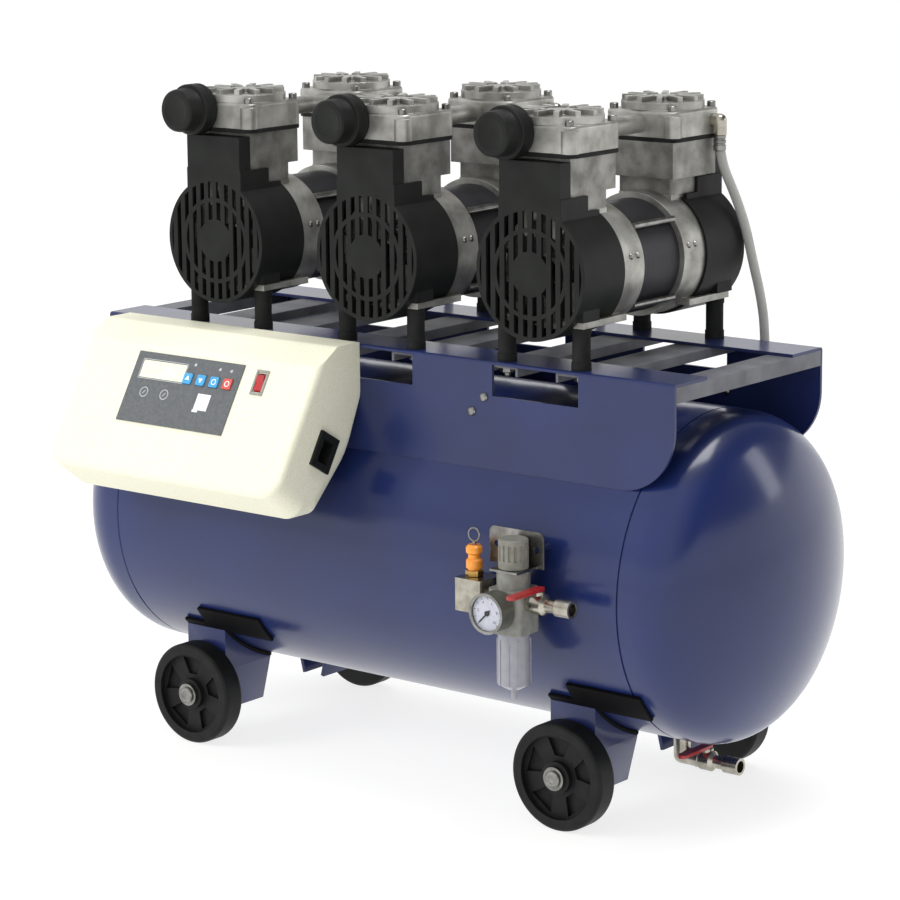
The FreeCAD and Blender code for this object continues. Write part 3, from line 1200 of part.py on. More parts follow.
def bracket():
    """A slotted plate on two tank studs, with a tab clamped under the regulator's knob."""
    plate = body("hanger")
    across = "-bracket_across - bracket_sheet"
    outline = sketch(plate, "hanger_outline", "XZ_Plane", "bracket_across + bracket_sheet")
    rectangle(outline, ("bracket_left", "bracket_right"), ("body_top", "bracket_top"))
    upright = pad(plate, "hanger_pad", outline, "bracket_sheet", reverse=True)
    round_edges(plate, "hanger_round", upright, "6", lambda e: along(e, vec(0, 1, 0))
                and e.CenterOfMass.z > value("body_top + 1"))
    slots = sketch(plate, "hanger_slots", "XZ_Plane", "bracket_across + bracket_sheet")
    for x in ("bracket_left + stud_inset", "bracket_right - stud_inset"):
        circle(slots, "stud_radius", x, "bracket_top - stud_drop")
    gap = ("bracket_left + 2 * stud_inset + 2", "bracket_right - 2 * stud_inset - 2")
    rectangle(slots, gap, ("body_top + 9", "bracket_top - 9"))
    pocket(plate, "hanger_open", slots, "bracket_sheet")
    tab = sketch(plate, "hanger_tab", "XY_Plane", "body_top")
    rectangle(tab, ("body_at - collar_radius", "body_at + collar_radius"),
              ("-group_across - collar_radius", across))
    pad(plate, "hanger_tab_pad", tab, "bracket_sheet")
    neck = sketch(plate, "hanger_neck", "XY_Plane", "body_top + bracket_sheet")
    circle(neck, "knob_stem + 1", "body_at", "-group_across")
    pocket(plate, "hanger_hole", neck, "bracket_sheet")
    node("regulator_bracket", group("hanger_set", plate))


def taps():
    """Ball valves: one on the regulator, one on the tank's drain; each with its lever."""
    tap = body("tap")
    profile = sketch(tap, "tap_profile", "XZ_Plane")
    polygon(profile, [("0", "tap_bore - 1"), ("0", "tap_radius - 1"), ("4", "tap_radius - 1"),
                      ("6", "tap_radius"), ("tap_stem + 6", "tap_radius"),
                      ("tap_stem + 9", "tap_end - 2"), ("tap_length - 18", "tap_end - 2"),
                      ("tap_length - 16", "tap_end"), ("tap_length", "tap_end"),
                      ("tap_length", "tap_bore"), ("tap_length - 14", "tap_bore"),
                      ("tap_length - 14", "tap_bore - 2"), ("tap_stem + 7", "tap_bore - 2"),
                      ("tap_stem + 7", "tap_bore - 1")])
    spin(tap, "tap_spin", profile, "X_Axis")
    gland = cyl("tap_gland", "spindle_radius + 2.5", "tap_rise - 0.5", "tap_stem")
    bore = cyl("tap_spindle_bore", "spindle_radius + running_gap", "tap_rise + 1", "tap_stem",
               z="4")
    shape = cut("tap_shape", fuse("tap_solids", tap, gland), bore)
    lever = body("lever")
    strap = sketch(lever, "lever_strap", "XY_Plane", "tap_rise")
    rectangle(strap, ("-lever_width / 2", "lever_width / 2"),
              ("-lever_length", "lever_width / 2"))
    flat = pad(lever, "lever_pad", strap, "lever_thick")
    round_edges(lever, "lever_round", flat, "lever_width / 2 - 0.5",
                lambda e: along(e, vec(0, 0, 1)))
    pin = sketch(lever, "lever_pin", "XY_Plane", "tap_rise")
    circle(pin, "spindle_radius")
    pad(lever, "lever_pin_pad", pin, "tap_rise - 4.3", reverse=True)
    for name, x, y, z in (("outlet", "body_at + body_half", "-group_across", "group_height"),
                          ("drain", "drain_at + drain_run", "0", "drain_height")):
        node(f"{name}_valve", group(f"{name}_tap_set", copy(f"{name}_tap", shape, x, y, z)))
        node(f"{name}_lever", group(f"{name}_lever_set", copy(
            f"{name}_lever_at", lever, f"{x} + tap_stem", y, z)))


def fittings():
    """Threaded pieces that join the hoses, the drain and the outlet group."""
    pieces = []
    for pump, x in pump_places.items():
        side = f"{x} + head_half"
        y = "head_along + head_half - elbow_back"
        z = "block_top + gasket + elbow_up"
        pieces.append(fuse(
            f"{pump}_elbow", cyl(f"{pump}_elbow_stub", "hose_nut", "elbow_out", side, y, z, "x"),
            ball(f"{pump}_elbow_corner", "hose_nut", f"{side} + elbow_out", y, z),
            cyl(f"{pump}_elbow_nut", "hose_nut", "elbow_drop", f"{side} + elbow_out", y,
                f"{z} - elbow_drop")))
        pieces.append(cut(
            f"{pump}_nut", cyl(f"{pump}_nut_outer", "hose_nut", "nut_length",
                               f"{x} + hose_foot", "inlet_behind", "inlet_top"),
            cyl(f"{pump}_nut_bore", "inlet_bore", "nut_length - 2", f"{x} + hose_foot",
                "inlet_behind", "inlet_top - 1")))
    drop = "drain_drop"
    pipe = fuse("drain_solids", cyl("drain_pipe", "tap_end", drop, "drain_at", z="drain_height"),
                ball("drain_corner", "tap_end", "drain_at", "0", "drain_height"),
                cyl("drain_stub", "tap_end", "drain_run", "drain_at", z="drain_height",
                    axis="x"))
    pieces.append(cut("drain_elbow", pipe,
                      cyl("drain_down", "tap_bore - 1", drop + " + 1", "drain_at",
                          z="drain_height"),
                      cyl("drain_across", "tap_bore - 1", "drain_run + 1", "drain_at",
                          z="drain_height", axis="x")))
    reach = "nipple_length"
    pieces.append(cut("nipple", cyl("nipple_outer", "nipple_radius", reach,
                                    "block_left + block_size", "-group_across",
                                    "group_height", "x"),
                      cyl("nipple_bore", "nipple_radius - nipple_wall", reach + " + 2",
                          "block_left + block_size - 1", "-group_across", "group_height",
                          "x")))
    node("pipe_fittings", group("fitting_set", *pieces))


for build in (tank_barrel, tank_heads, deck_plates, deck_beams, pump_feet, crankcases,
              stators, shrouds, cylinders, heads, moving_gear, filters_and_tubes, hoses,
              wheels, wheel_brackets, control_box, power_socket, controls, outlet_group,
              taps, fittings):
    build()
    doc.recompute()
    print(build.__name__)

failed = [o.Name for o in doc.Objects if {"Invalid", "Error"} & set(o.State)]
if failed:
    raise RuntimeError("objects failed: " + ", ".join(failed))
os.makedirs("parts", exist_ok=True)
for obj in nodes:
    shape = obj.Shape
    if shape.isNull() or not shape.isValid():
        raise RuntimeError(obj.Label + " has no valid shape")
    shape.exportStep(f"parts/{obj.Label}.step")
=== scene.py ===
import math
import bpy
from mathutils import Matrix, Quaternion, Vector


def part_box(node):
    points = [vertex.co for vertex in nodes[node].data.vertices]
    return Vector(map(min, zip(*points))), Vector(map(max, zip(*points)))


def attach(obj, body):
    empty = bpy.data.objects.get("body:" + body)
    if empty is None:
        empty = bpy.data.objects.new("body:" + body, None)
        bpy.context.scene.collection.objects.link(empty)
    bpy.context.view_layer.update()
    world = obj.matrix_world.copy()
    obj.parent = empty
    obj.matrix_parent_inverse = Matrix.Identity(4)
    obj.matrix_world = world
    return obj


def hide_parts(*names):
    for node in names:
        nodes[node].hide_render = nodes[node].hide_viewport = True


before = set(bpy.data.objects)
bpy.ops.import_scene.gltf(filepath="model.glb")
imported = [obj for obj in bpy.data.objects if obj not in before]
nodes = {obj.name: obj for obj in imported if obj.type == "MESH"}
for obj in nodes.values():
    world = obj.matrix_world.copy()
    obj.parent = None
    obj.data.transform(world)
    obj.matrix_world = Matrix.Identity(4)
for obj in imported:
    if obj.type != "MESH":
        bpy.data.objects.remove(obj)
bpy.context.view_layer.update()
print("frame loaded:", len(nodes), "nodes")

# Sizes are millimetres, with Y 0 on the tank's axis, as the tank maker draws them.
tankLow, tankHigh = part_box("tank_heads")
tankY = (tankLow.y + tankHigh.y) / 2


def spot(x, y, z):
    return Vector((x / 1000, y / 1000 + tankY, z / 1000))


# finishes: what each surface is made of, and how it was made

def colour(text):
    # a paint chart's "#rrggbb", turned to the linear values that a shader takes
    parts = [int(text[i:i + 2], 16) / 255 for i in (1, 3, 5)]
    return [p / 12.92 if p <= 0.04045 else ((p + 0.055) / 1.055) ** 2.4 for p in parts] + [1]


def addNode(tree, kind, links=None, **settings):
    node = tree.nodes.new("ShaderNode" + kind)
    for name, value in settings.items():
        setattr(node, name, value)
    for socket, source in (links or {}).items():
        if isinstance(source, bpy.types.NodeSocket):
            tree.links.new(source, node.inputs[socket])
        else:
            node.inputs[socket].default_value = source
    return node


def newFinish(name, shaderValues):
    finish = bpy.data.materials.new(name)
    finish.use_nodes = True
    shader = finish.node_tree.nodes["Principled BSDF"]
    for socket, value in shaderValues.items():
        shader.inputs[socket].default_value = value
    return finish, finish.node_tree, shader


# Each finish gives its two colours, the size in mm of the clouds between them, the size and
# depth in mm of its grain, its range of roughness, the softness in mm of its edges, how far
# and to what colour the edges are worn, and what else its shader needs.
looks = {
    # polyester powder coat with a clear top coat: deep gloss with faint orange peel
    "tankPaint": dict(colours=("#1d2b60", "#192553"), cloud=180, grain=2.4, depth=0.010,
                      rough=(0.28, 0.38), edge=0.6, wear=0.15, worn="#4a5580",
                      shader={"Specular IOR Level": 0.15, "Coat Weight": 0.75,
                              "Coat Roughness": 0.16}),
    # the same coat baked on thin sheet, a little flatter
    "platePaint": dict(colours=("#222d5e", "#1d2752"), cloud=90, grain=1.6, depth=0.010,
                       rough=(0.34, 0.46), edge=0.8, wear=0.4, worn="#566088",
                       shader={"Specular IOR Level": 0.2, "Coat Weight": 0.6,
                               "Coat Roughness": 0.18}),
    # grey primer on the cross members, rubbed where hands and tools pass
    "beamPaint": dict(colours=("#74757b", "#5d5e65"), cloud=30, grain=1.2, depth=0.02,
                      rough=(0.4, 0.6), edge=0.8, wear=0.5, worn="#a4a5a9",
                      shader={"Specular IOR Level": 0.3}),
    # die-cast aluminium, tumbled: soft satin grey, sandy skin, bright edges
    "castAluminium": dict(colours=("#bbbab5", "#8c8b85"), cloud=24, grain=0.9, depth=0.05,
                          rough=(0.32, 0.52), edge=1.0, wear=0.7, worn="#dcdbd7",
                          shader={"Metallic": 0.75}),
    # a darker, duller copy of the die-cast aluminium for the cylinders: painted shade, matching
    # their shaded faces
    "shadedCastAluminium": dict(colours=("#a09f9b", "#74736e"), cloud=20, grain=1.1, depth=0.07,
                              rough=(0.42, 0.62), edge=1.0, wear=0.5, worn="#c2c1bc",
                              shader={"Metallic": 0.7}),
    # bright zinc plate with faint cloudy passivation
    "zincPlate": dict(colours=("#9d9c99", "#7c7b77"), cloud=9, grain=0.6, depth=0.01,
                      rough=(0.22, 0.36), edge=0.3, wear=0.3, worn="#cfceca",
                      shader={"Metallic": 1.0}),
    # nickel-plated brass, turned: warm grey mirror
    "nickelBrass": dict(colours=("#c0bcb0", "#9a968a"), cloud=12, grain=0.5, depth=0.01,
                        rough=(0.2, 0.32), edge=0.4, wear=0.3, worn="#e4e0d6",
                        shader={"Metallic": 1.0}),
    # glass-filled nylon from a spark-eroded mould: dry black with a fine bite
    "blackNylon": dict(colours=("#1d1f1d", "#151715"), cloud=28, grain=0.8, depth=0.06,
                       rough=(0.42, 0.6), edge=0.8, wear=0.3, worn="#3f413f",
                       shader={"Specular IOR Level": 0.2}),
    # nitrile rubber: dull, with a dusty bloom
    "footRubber": dict(colours=("#232423", "#1a1b1a"), cloud=12, grain=0.8, depth=0.04,
                       rough=(0.65, 0.85), edge=0.8, wear=0.25, worn="#3d3e3d",
                       shader={"Specular IOR Level": 0.2}),
    # black saddle rubber under the wheel brackets, made near-black so that it also paints the
    # shadow and the dark gap around each bracket's top
    "saddleRubberAndShadow": dict(colours=("#0b0b0d", "#070709"), cloud=14, grain=0.8, depth=0.03,
                         rough=(0.5, 0.7), edge=0.8, wear=0.3, worn="#202024",
                         shader={"Specular IOR Level": 0.1}),
    # moulded polycarbonate fan: dark grey, half gloss
    "fanPlastic": dict(colours=("#262624", "#1d1d1b"), cloud=12, grain=0.8, depth=0.03,
                       rough=(0.4, 0.55), edge=0.5, wear=0.2, worn="#3f3f3d",
                       shader={"Specular IOR Level": 0.3}),
    # sand-textured powder coat: warm cream with darker specks
    "creamCoat": dict(colours=("#f7f6e2", "#ece9cf"), cloud=1.4, grain=0.9, depth=0.05,
                      rough=(0.45, 0.65), edge=1.2, wear=0.3, worn="#fdfcee",
                      shader={"Specular IOR Level": 0.4}),
    # matt polyester film over the controls
    "overlayFilm": dict(colours=("#686b6d", "#5c5f61"), cloud=3, grain=0.5, depth=0.005,
                        rough=(0.4, 0.5), edge=0.2, wear=0.2, worn="#7f8284", shader={}),
    # glass-epoxy board under green solder mask
    "greenBoard": dict(colours=("#1f5a3c", "#194a31"), cloud=4, grain=0.6, depth=0.01,
                       rough=(0.35, 0.5), edge=0.2, wear=0.3, worn="#77705a", shader={}),
    # lacquered brass: orange skin over metal
    "orangeLacquer": dict(colours=("#ffa638", "#f39426"), cloud=3, grain=0.5, depth=0.01,
                          rough=(0.25, 0.38), edge=0.3, wear=0.4, worn="#ffc877",
                          shader={"Metallic": 0.15, "Coat Weight": 0.5}),
    # dipped vinyl sleeve: soft red with a rolled gloss
    "redVinyl": dict(colours=("#b02326", "#98191c"), cloud=4, grain=0.8, depth=0.02,
                     rough=(0.3, 0.42), edge=0.6, wear=0.3, worn="#dd6260",
                     shader={"Coat Weight": 0.4}),
    # moulded polycarbonate rocker: clear red, polished
    "redRocker": dict(colours=("#c41f26", "#a8171d"), cloud=2, grain=0.6, depth=0.01,
                      rough=(0.2, 0.3), edge=0.4, wear=0.2, worn="#e0585a",
                      shader={"Coat Weight": 0.6}),
    # silicone key caps: flat colour, slightly waxy
    "blueKey": dict(colours=("#55b0e4", "#3f9ad0"), cloud=2, grain=0.5, depth=0.01,
                    rough=(0.4, 0.5), edge=0.4, wear=0.3, worn="#8ccdf0", shader={}),
    "redKey": dict(colours=("#e0665c", "#cb5047"), cloud=2, grain=0.5, depth=0.01,
                   rough=(0.4, 0.5), edge=0.4, wear=0.3, worn="#f09a92", shader={}),
    # painted die-cast zinc of the regulator
    "regulatorGrey": dict(colours=("#8f8f89", "#7d7d77"), cloud=8, grain=0.7, depth=0.03,
                          rough=(0.35, 0.5), edge=0.7, wear=0.5, worn="#b4b4ac", shader={}),
    # moulded acetal knob: waxy mid grey
    "knobAcetal": dict(colours=("#85847b", "#77766d"), cloud=6, grain=0.6, depth=0.02,
                       rough=(0.38, 0.5), edge=0.4, wear=0.4, worn="#a5a49a", shader={}),
    # enamelled steel case
    "caseEnamel": dict(colours=("#55564f", "#48493f"), cloud=6, grain=0.6, depth=0.01,
                       rough=(0.3, 0.42), edge=0.4, wear=0.3, worn="#8b8c84", shader={}),
    # bare turned brass
    "brass": dict(colours=("#d3ab66", "#b88e4c"), cloud=6, grain=0.5, depth=0.01,
                  rough=(0.24, 0.36), edge=0.4, wear=0.4, worn="#efd39a",
                  shader={"Metallic": 1.0}),
    # screen inks: pale grey lines, white marks
    "paleInk": dict(colours=("#c2c5c9", "#b4b7bb"), cloud=2, grain=0.4, depth=0.003,
                    rough=(0.45, 0.55), edge=0.1, wear=0, worn="#c2c5c9", shader={}),
    "whiteInk": dict(colours=("#f8f8fb", "#eeeef3"), cloud=2, grain=0.4, depth=0.003,
                     rough=(0.4, 0.5), edge=0.1, wear=0, worn="#f8f8fb", shader={}),
    # moulded frame of the switch
    "switchFrame": dict(colours=("#a3a5a0", "#93958f"), cloud=3, grain=0.5, depth=0.01,
                        rough=(0.3, 0.45), edge=0.4, wear=0.3, worn="#c4c6c0", shader={}),
    # lit liquid-crystal window under a matt film
    "litDisplay": dict(colours=("#eeeed6", "#e4e4c8"), cloud=9, grain=0.6, depth=0.003,
                       rough=(0.2, 0.3), edge=0.2, wear=0, worn="#f4f4de",
                       shader={"Coat Weight": 0.5, "Emission Color": colour("#f4f4de"),
                               "Emission Strength": 0.12}),
    # white enamelled dial
    "whiteDial": dict(colours=("#dfe1ea", "#d2d5df"), cloud=4, grain=0.6, depth=0.004,
                      rough=(0.3, 0.4), edge=0.2, wear=0, worn="#fafbff", shader={}),
    # moulded polypropylene wheel: dark, slightly greasy
    "wheelPlastic": dict(colours=("#1c1d1c", "#151615"), cloud=14, grain=0.9, depth=0.05,
                         rough=(0.42, 0.6), edge=1.0, wear=0.3, worn="#383937",
                         shader={"Specular IOR Level": 0.2}),
    # stove enamel on the pointer and the dial's marks
    "blackEnamel": dict(colours=("#2a2a30", "#202026"), cloud=3, grain=0.5, depth=0.005,
                        rough=(0.3, 0.4), edge=0.1, wear=0, worn="#2a2a30", shader={}),
    # ground and oiled steel shaft
    "groundSteel": dict(colours=("#bcbab6", "#a2a09c"), cloud=6, grain=0.5, depth=0.01,
                        rough=(0.18, 0.3), edge=0.4, wear=0.3, worn="#dedcd8",
                        shader={"Metallic": 1.0}),
}

# What the finishes share: the detail of clouds and grain, where the blend of the two colours
# starts and ends, how many samples find an edge, how alike its rounded and its true facing are
# where wear starts and where it is full, and how many clouds of haze a metre holds.
shared = {"cloudDetail": 4, "grainDetail": 3, "blend": (0.35, 0.65), "edgeSamples": 4,
          "likeness": (0.99, 0.8), "hazeScale": 140}


def feedShader(tree, shader, tone, rough, relief):
    tree.links.new(tone.outputs[2], shader.inputs["Base Color"])
    tree.links.new(rough.outputs["Result"], shader.inputs["Roughness"])
    tree.links.new(relief.outputs["Normal"], shader.inputs["Normal"])


def madeFinish(name, look):
    finish, tree, shader = newFinish(name, look["shader"])
    place = addNode(tree, "TexCoord").outputs["Object"]
    clouds = addNode(tree, "TexNoise", {"Vector": place, "Scale": 1000 / look["cloud"],
                                        "Detail": shared["cloudDetail"]})
    drift = addNode(tree, "ValToRGB", {"Fac": clouds.outputs["Fac"]})
    for stop, position, shade in zip(drift.color_ramp.elements, shared["blend"],
                                     reversed(look["colours"])):
        stop.position = position
        stop.color = colour(shade)
    grain = addNode(tree, "TexNoise", {"Vector": place, "Scale": 1000 / look["grain"],
                                       "Detail": shared["grainDetail"]})
    rough = addNode(tree, "MapRange", {"Value": grain.outputs["Fac"],
                                       "To Min": look["rough"][0], "To Max": look["rough"][1]})
    # an edge is where the rounded surface faces another way than the true one
    rounded = addNode(tree, "Bevel", {"Radius": look["edge"] / 1000},
                      samples=shared["edgeSamples"])
    true = addNode(tree, "NewGeometry")
    likeness = addNode(tree, "VectorMath", {0: rounded.outputs["Normal"],
                                            1: true.outputs["Normal"]},
                       operation="DOT_PRODUCT")
    rubbed = addNode(tree, "MapRange", {"Value": likeness.outputs["Value"],
                                        "From Min": shared["likeness"][0],
                                        "From Max": shared["likeness"][1],
                                        "To Min": 0, "To Max": look["wear"]})
    patchy = addNode(tree, "Math", {0: rubbed.outputs["Result"], 1: clouds.outputs["Fac"]},
                     operation="MULTIPLY")
    skin = addNode(tree, "Mix", {0: patchy.outputs["Value"], 6: drift.outputs["Color"],
                                 7: colour(look["worn"])}, data_type="RGBA")
    relief = addNode(tree, "Bump", {"Height": grain.outputs["Fac"],
                                    "Distance": look["depth"] / 1000,
                                    "Normal": rounded.outputs["Normal"]})
    feedShader(tree, shader, skin, rough, relief)
    return finish


# varnished stator sheets stacked along Y: fine bands round the motor, whose real sheets are
# 0.5 mm thick and are drawn at 2 mm, so that they show, over clouds about 18 mm across
sheets = {"band": 2, "depth": 0.06, "strength": 0.6, "cloudScale": 55,
          "colours": ("#1d1d21", "#2b2b30"), "rough": (0.35, 0.55), "shader": {"Metallic": 0.3}}


def laminatedSteel(look):
    finish, tree, shader = newFinish("laminatedSteel", look["shader"])
    place = addNode(tree, "TexCoord").outputs["Object"]
    split = addNode(tree, "SeparateXYZ", {"Vector": place})
    beat = addNode(tree, "Math", {0: split.outputs["Y"], 1: math.tau * 1000 / look["band"]},
                   operation="MULTIPLY")
    wave = addNode(tree, "Math", {0: beat.outputs["Value"]}, operation="SINE")
    clouds = addNode(tree, "TexNoise", {"Vector": place, "Scale": look["cloudScale"],
                                        "Detail": shared["grainDetail"]})
    tone = addNode(tree, "Mix", {0: clouds.outputs["Fac"], 6: colour(look["colours"][0]),
                                 7: colour(look["colours"][1])}, data_type="RGBA")
    rough = addNode(tree, "MapRange", {"Value": clouds.outputs["Fac"],
                                       "To Min": look["rough"][0], "To Max": look["rough"][1]})
    relief = addNode(tree, "Bump", {"Height": wave.outputs["Value"],
                                    "Distance": look["depth"] / 1000,
                                    "Strength": look["strength"]})
    feedShader(tree, shader, tone, rough, relief)
    return finish


# woven polyester sleeve: two sets of pale strands, 1.6 mm apart, that cross on the slant
braid = {"pitch": 1.6, "depth": 0.2, "colours": ("#8d8e8c", "#d0d0cb"), "rough": (0.6, 0.45),
         "shader": {"Sheen Weight": 0.15}}


def hoseBraid(look):
    finish, tree, shader = newFinish("hoseBraid", look["shader"])
    place = addNode(tree, "TexCoord").outputs["Object"]
    split = addNode(tree, "SeparateXYZ", {"Vector": place})
    across = addNode(tree, "Math", {0: split.outputs["X"], 1: split.outputs["Y"]},
                     operation="ADD")
    strands = []
    for side in (1, -1):
        slant = addNode(tree, "Math", {0: across.outputs["Value"], 1: side,
                                       2: split.outputs["Z"]}, operation="MULTIPLY_ADD")
        beat = addNode(tree, "Math", {0: slant.outputs["Value"],
                                      1: math.tau * 1000 / look["pitch"]},
                       operation="MULTIPLY")
        strands.append(addNode(tree, "Math", {0: beat.outputs["Value"]}, operation="SINE"))
    weave = addNode(tree, "Math", {0: strands[0].outputs["Value"],
                                   1: strands[1].outputs["Value"]}, operation="MAXIMUM")
    tone = addNode(tree, "Mix", {0: weave.outputs["Value"], 6: colour(look["colours"][0]),
                                 7: colour(look["colours"][1])}, data_type="RGBA")
    rough = addNode(tree, "MapRange", {"Value": weave.outputs["Value"],
                                       "To Min": look["rough"][0], "To Max": look["rough"][1]})
    relief = addNode(tree, "Bump", {"Height": weave.outputs["Value"],
                                    "Distance": look["depth"] / 1000})
    feedShader(tree, shader, tone, rough, relief)
    return finish


# clear moulded plastics with a faint haze from use, in patches about 7 mm across
clears = {
    # smoky polycarbonate of the bowl: half clear, so that the filter inside only shows dimly
    "clearBowl": dict(colours=("#a9a9b4", "#c2c2cb"), rough=(0.12, 0.26), depth=0.02,
                      shader={"Transmission Weight": 0.4, "IOR": 1.58}),
    # flat acrylic window of the gauge: nearly invisible, with a soft gloss
    "dialAcrylic": dict(colours=("#fbfbff", "#ffffff"), rough=(0.02, 0.06), depth=0.001,
                        shader={"Transmission Weight": 1.0, "IOR": 1.2}),
}


def clearPlastic(name, look):
    finish, tree, shader = newFinish(name, look["shader"])
    place = addNode(tree, "TexCoord").outputs["Object"]
    haze = addNode(tree, "TexNoise", {"Vector": place, "Scale": shared["hazeScale"],
                                      "Detail": shared["grainDetail"]})
    tone = addNode(tree, "Mix", {0: haze.outputs["Fac"], 6: colour(look["colours"][0]),
                                 7: colour(look["colours"][1])}, data_type="RGBA")
    polish = addNode(tree, "MapRange", {"Value": haze.outputs["Fac"],
                                        "To Min": look["rough"][0], "To Max": look["rough"][1]})
    ripple = addNode(tree, "Bump", {"Height": haze.outputs["Fac"],
                                    "Distance": look["depth"] / 1000})
    feedShader(tree, shader, tone, polish, ripple)
    return finish


finishes = {name: madeFinish(name, look) for name, look in looks.items()}
finishes["laminatedSteel"] = laminatedSteel(sheets)
finishes["hoseBraid"] = hoseBraid(braid)
for name, look in clears.items():
    finishes[name] = clearPlastic(name, look)

nodeFinishes = {
    "tankPaint": ["tank_barrel", "tank_heads"],
    "platePaint": ["deck_front_plate", "deck_rear_plate", "wheel_brackets"],
    "beamPaint": ["deck_cross_members"],
    "castAluminium": ["crankcases", "cylinder_heads", "transfer_tubes"],
    # the cylinders take the darker copy of the aluminium, which is painted shade
    "shadedCastAluminium": ["cylinders"],
    "zincPlate": ["axle_bolts", "stator_tie_rods", "regulator_bracket", "safety_valve_ring"],
    "nickelBrass": ["pipe_fittings", "outlet_manifold", "outlet_valve", "drain_valve"],
    "blackNylon": ["intake_filters", "power_inlet"],
    "footRubber": ["pump_feet", "head_gaskets"],
    "saddleRubberAndShadow": ["wheel_pads"],
    "creamCoat": ["control_casing"],
    "overlayFilm": ["control_panel"],
    "greenBoard": ["control_board"],
    "orangeLacquer": ["safety_valve"],
    "redVinyl": ["outlet_lever", "drain_lever"],
    "redRocker": ["power_rocker"],
    "blueKey": ["key_1", "key_2", "key_3"],
    "redKey": ["key_4"],
    "regulatorGrey": ["regulator_body"],
    "knobAcetal": ["regulator_knob"],
    "caseEnamel": ["pressure_gauge"],
    "blackEnamel": ["gauge_needle"],
    "wheelPlastic": ["wheel_front_left", "wheel_front_right", "wheel_rear_left",
                     "wheel_rear_right"],
    "fanPlastic": [],
    "groundSteel": [],
    "laminatedSteel": ["stators"],
    "clearBowl": ["filter_bowl"],
    "hoseBraid": ["discharge_hoses"],
}
for pump in ("pump1", "pump2", "pump3"):
    nodeFinishes["castAluminium"] += [f"{pump}_front_piston", f"{pump}_rear_piston"]
    nodeFinishes["blackNylon"].append(f"{pump}_shrouds")
    nodeFinishes["fanPlastic"].append(f"{pump}_fans")
    nodeFinishes["groundSteel"].append(f"{pump}_shaft")
for finishName, members in nodeFinishes.items():
    for member in members:
        nodes[member].data.materials.clear()
        nodes[member].data.materials.append(finishes[finishName])
print("finishes given:", len(finishes))


# camera, floor and lights

# angles in degrees, distance and reach in metres, target and lens in millimetres
camera = {"azimuth": 38.80, "elevation": 11.16, "roll": -0.522, "distance": 3.0155,
          "target": (0.45, 0.35, 330.9), "lens": 125.94, "shift": (-0.004, -0.0351),
          "reach": 50}
softboxes = {  # place, target and size in metres, power in watts, and whether gloss shows it
    "keyLight": ((-1.8, -2.6, 2.2), (0, 0, 0.4), (1.8, 1.2), 52, False),
    "rightLight": ((2.15, 2.0, 1.4), (0.35, 0, 0.25), (0.5, 1.0), 6, True),
    "topLight": ((0.5, 0.3, 2.7), (0.2, 0, 0.4), (1.0, 1.0), 26, True),
}
# how bright the walls are; the way to the dark ones, and where along it they start and end;
# the bright band at the horizon, and where it fades; and the floor, its width in metres
studio = {"walls": 0.84, "darkWall": 0.12, "darkWay": (0.78, 0.62, 0), "turn": (0.0, 0.6),
          "horizon": 1.15, "horizonTop": (0.2, 0.27), "floorGlow": 0.78, "floorPaint": "#989896",
          "floorRough": 0.9, "floorWide": 60}


def addCamera(sizes):
    azimuth, elevation = math.radians(sizes["azimuth"]), math.radians(sizes["elevation"])
    back = Vector((math.sin(azimuth) * math.cos(elevation),
                   -math.cos(azimuth) * math.cos(elevation), math.sin(elevation)))
    data = bpy.data.cameras.new("photoCamera")
    body = bpy.data.objects.new("photoCamera", data)
    bpy.context.scene.collection.objects.link(body)
    body.location = spot(*sizes["target"]) + back * sizes["distance"]
    body.rotation_mode = "QUATERNION"
    body.rotation_quaternion = ((-back).to_track_quat("-Z", "Y")
                                @ Quaternion((0, 0, 1), math.radians(sizes["roll"])))
    data.lens = sizes["lens"]
    data.shift_x, data.shift_y = sizes["shift"]
    data.clip_end = sizes["reach"]
    bpy.context.scene.camera = body


def addSoftbox(name, place, target, size, power, inGloss):
    data = bpy.data.lights.new(name, "AREA")
    data.shape = "RECTANGLE"
    data.size, data.size_y = size
    data.energy = power
    lamp = bpy.data.objects.new(name, data)
    bpy.context.scene.collection.objects.link(lamp)
    lamp.location = place
    lamp.visible_glossy = inGloss
    lamp.rotation_euler = (Vector(target) - Vector(place)).to_track_quat("-Z", "Y").to_euler()


def addStudio(sizes):
    # white walls, darker beyond the tank's right end and back, over a bright low band all
    # round; and a pale floor with a glow of its own
    world = bpy.data.worlds.new("studio")
    bpy.context.scene.world = world
    world.use_nodes = True
    tree = world.node_tree
    way = addNode(tree, "TexCoord").outputs["Generated"]
    toDark = addNode(tree, "VectorMath", {0: way, 1: sizes["darkWay"]}, operation="DOT_PRODUCT")
    walls = addNode(tree, "MapRange", {"Value": toDark.outputs["Value"],
                                       "From Min": sizes["turn"][0],
                                       "From Max": sizes["turn"][1], "To Min": sizes["walls"],
                                       "To Max": sizes["darkWall"]})
    rise = addNode(tree, "SeparateXYZ", {"Vector": way})
    band = addNode(tree, "MapRange", {"Value": rise.outputs["Z"],
                                      "From Min": sizes["horizonTop"][0],
                                      "From Max": sizes["horizonTop"][1],
                                      "To Min": sizes["horizon"], "To Max": 0})
    glow = addNode(tree, "Math", {0: walls.outputs["Result"], 1: band.outputs["Result"]},
                   operation="MAXIMUM")
    tree.links.new(glow.outputs["Value"], tree.nodes["Background"].inputs["Strength"])
    tree.nodes["Background"].inputs["Color"].default_value = (1, 1, 1, 1)
    paint = newFinish("paleFloor", {"Base Color": colour(sizes["floorPaint"]),
                                    "Roughness": sizes["floorRough"],
                                    "Emission Color": (1, 1, 1, 1),
                                    "Emission Strength": sizes["floorGlow"]})[0]
    bpy.ops.object.select_all(action="DESELECT")
    bpy.ops.mesh.primitive_plane_add(size=sizes["floorWide"], location=(0, 0, 0))
    floor = bpy.context.object
    floor.name = "floor"
    floor.data.materials.append(paint)


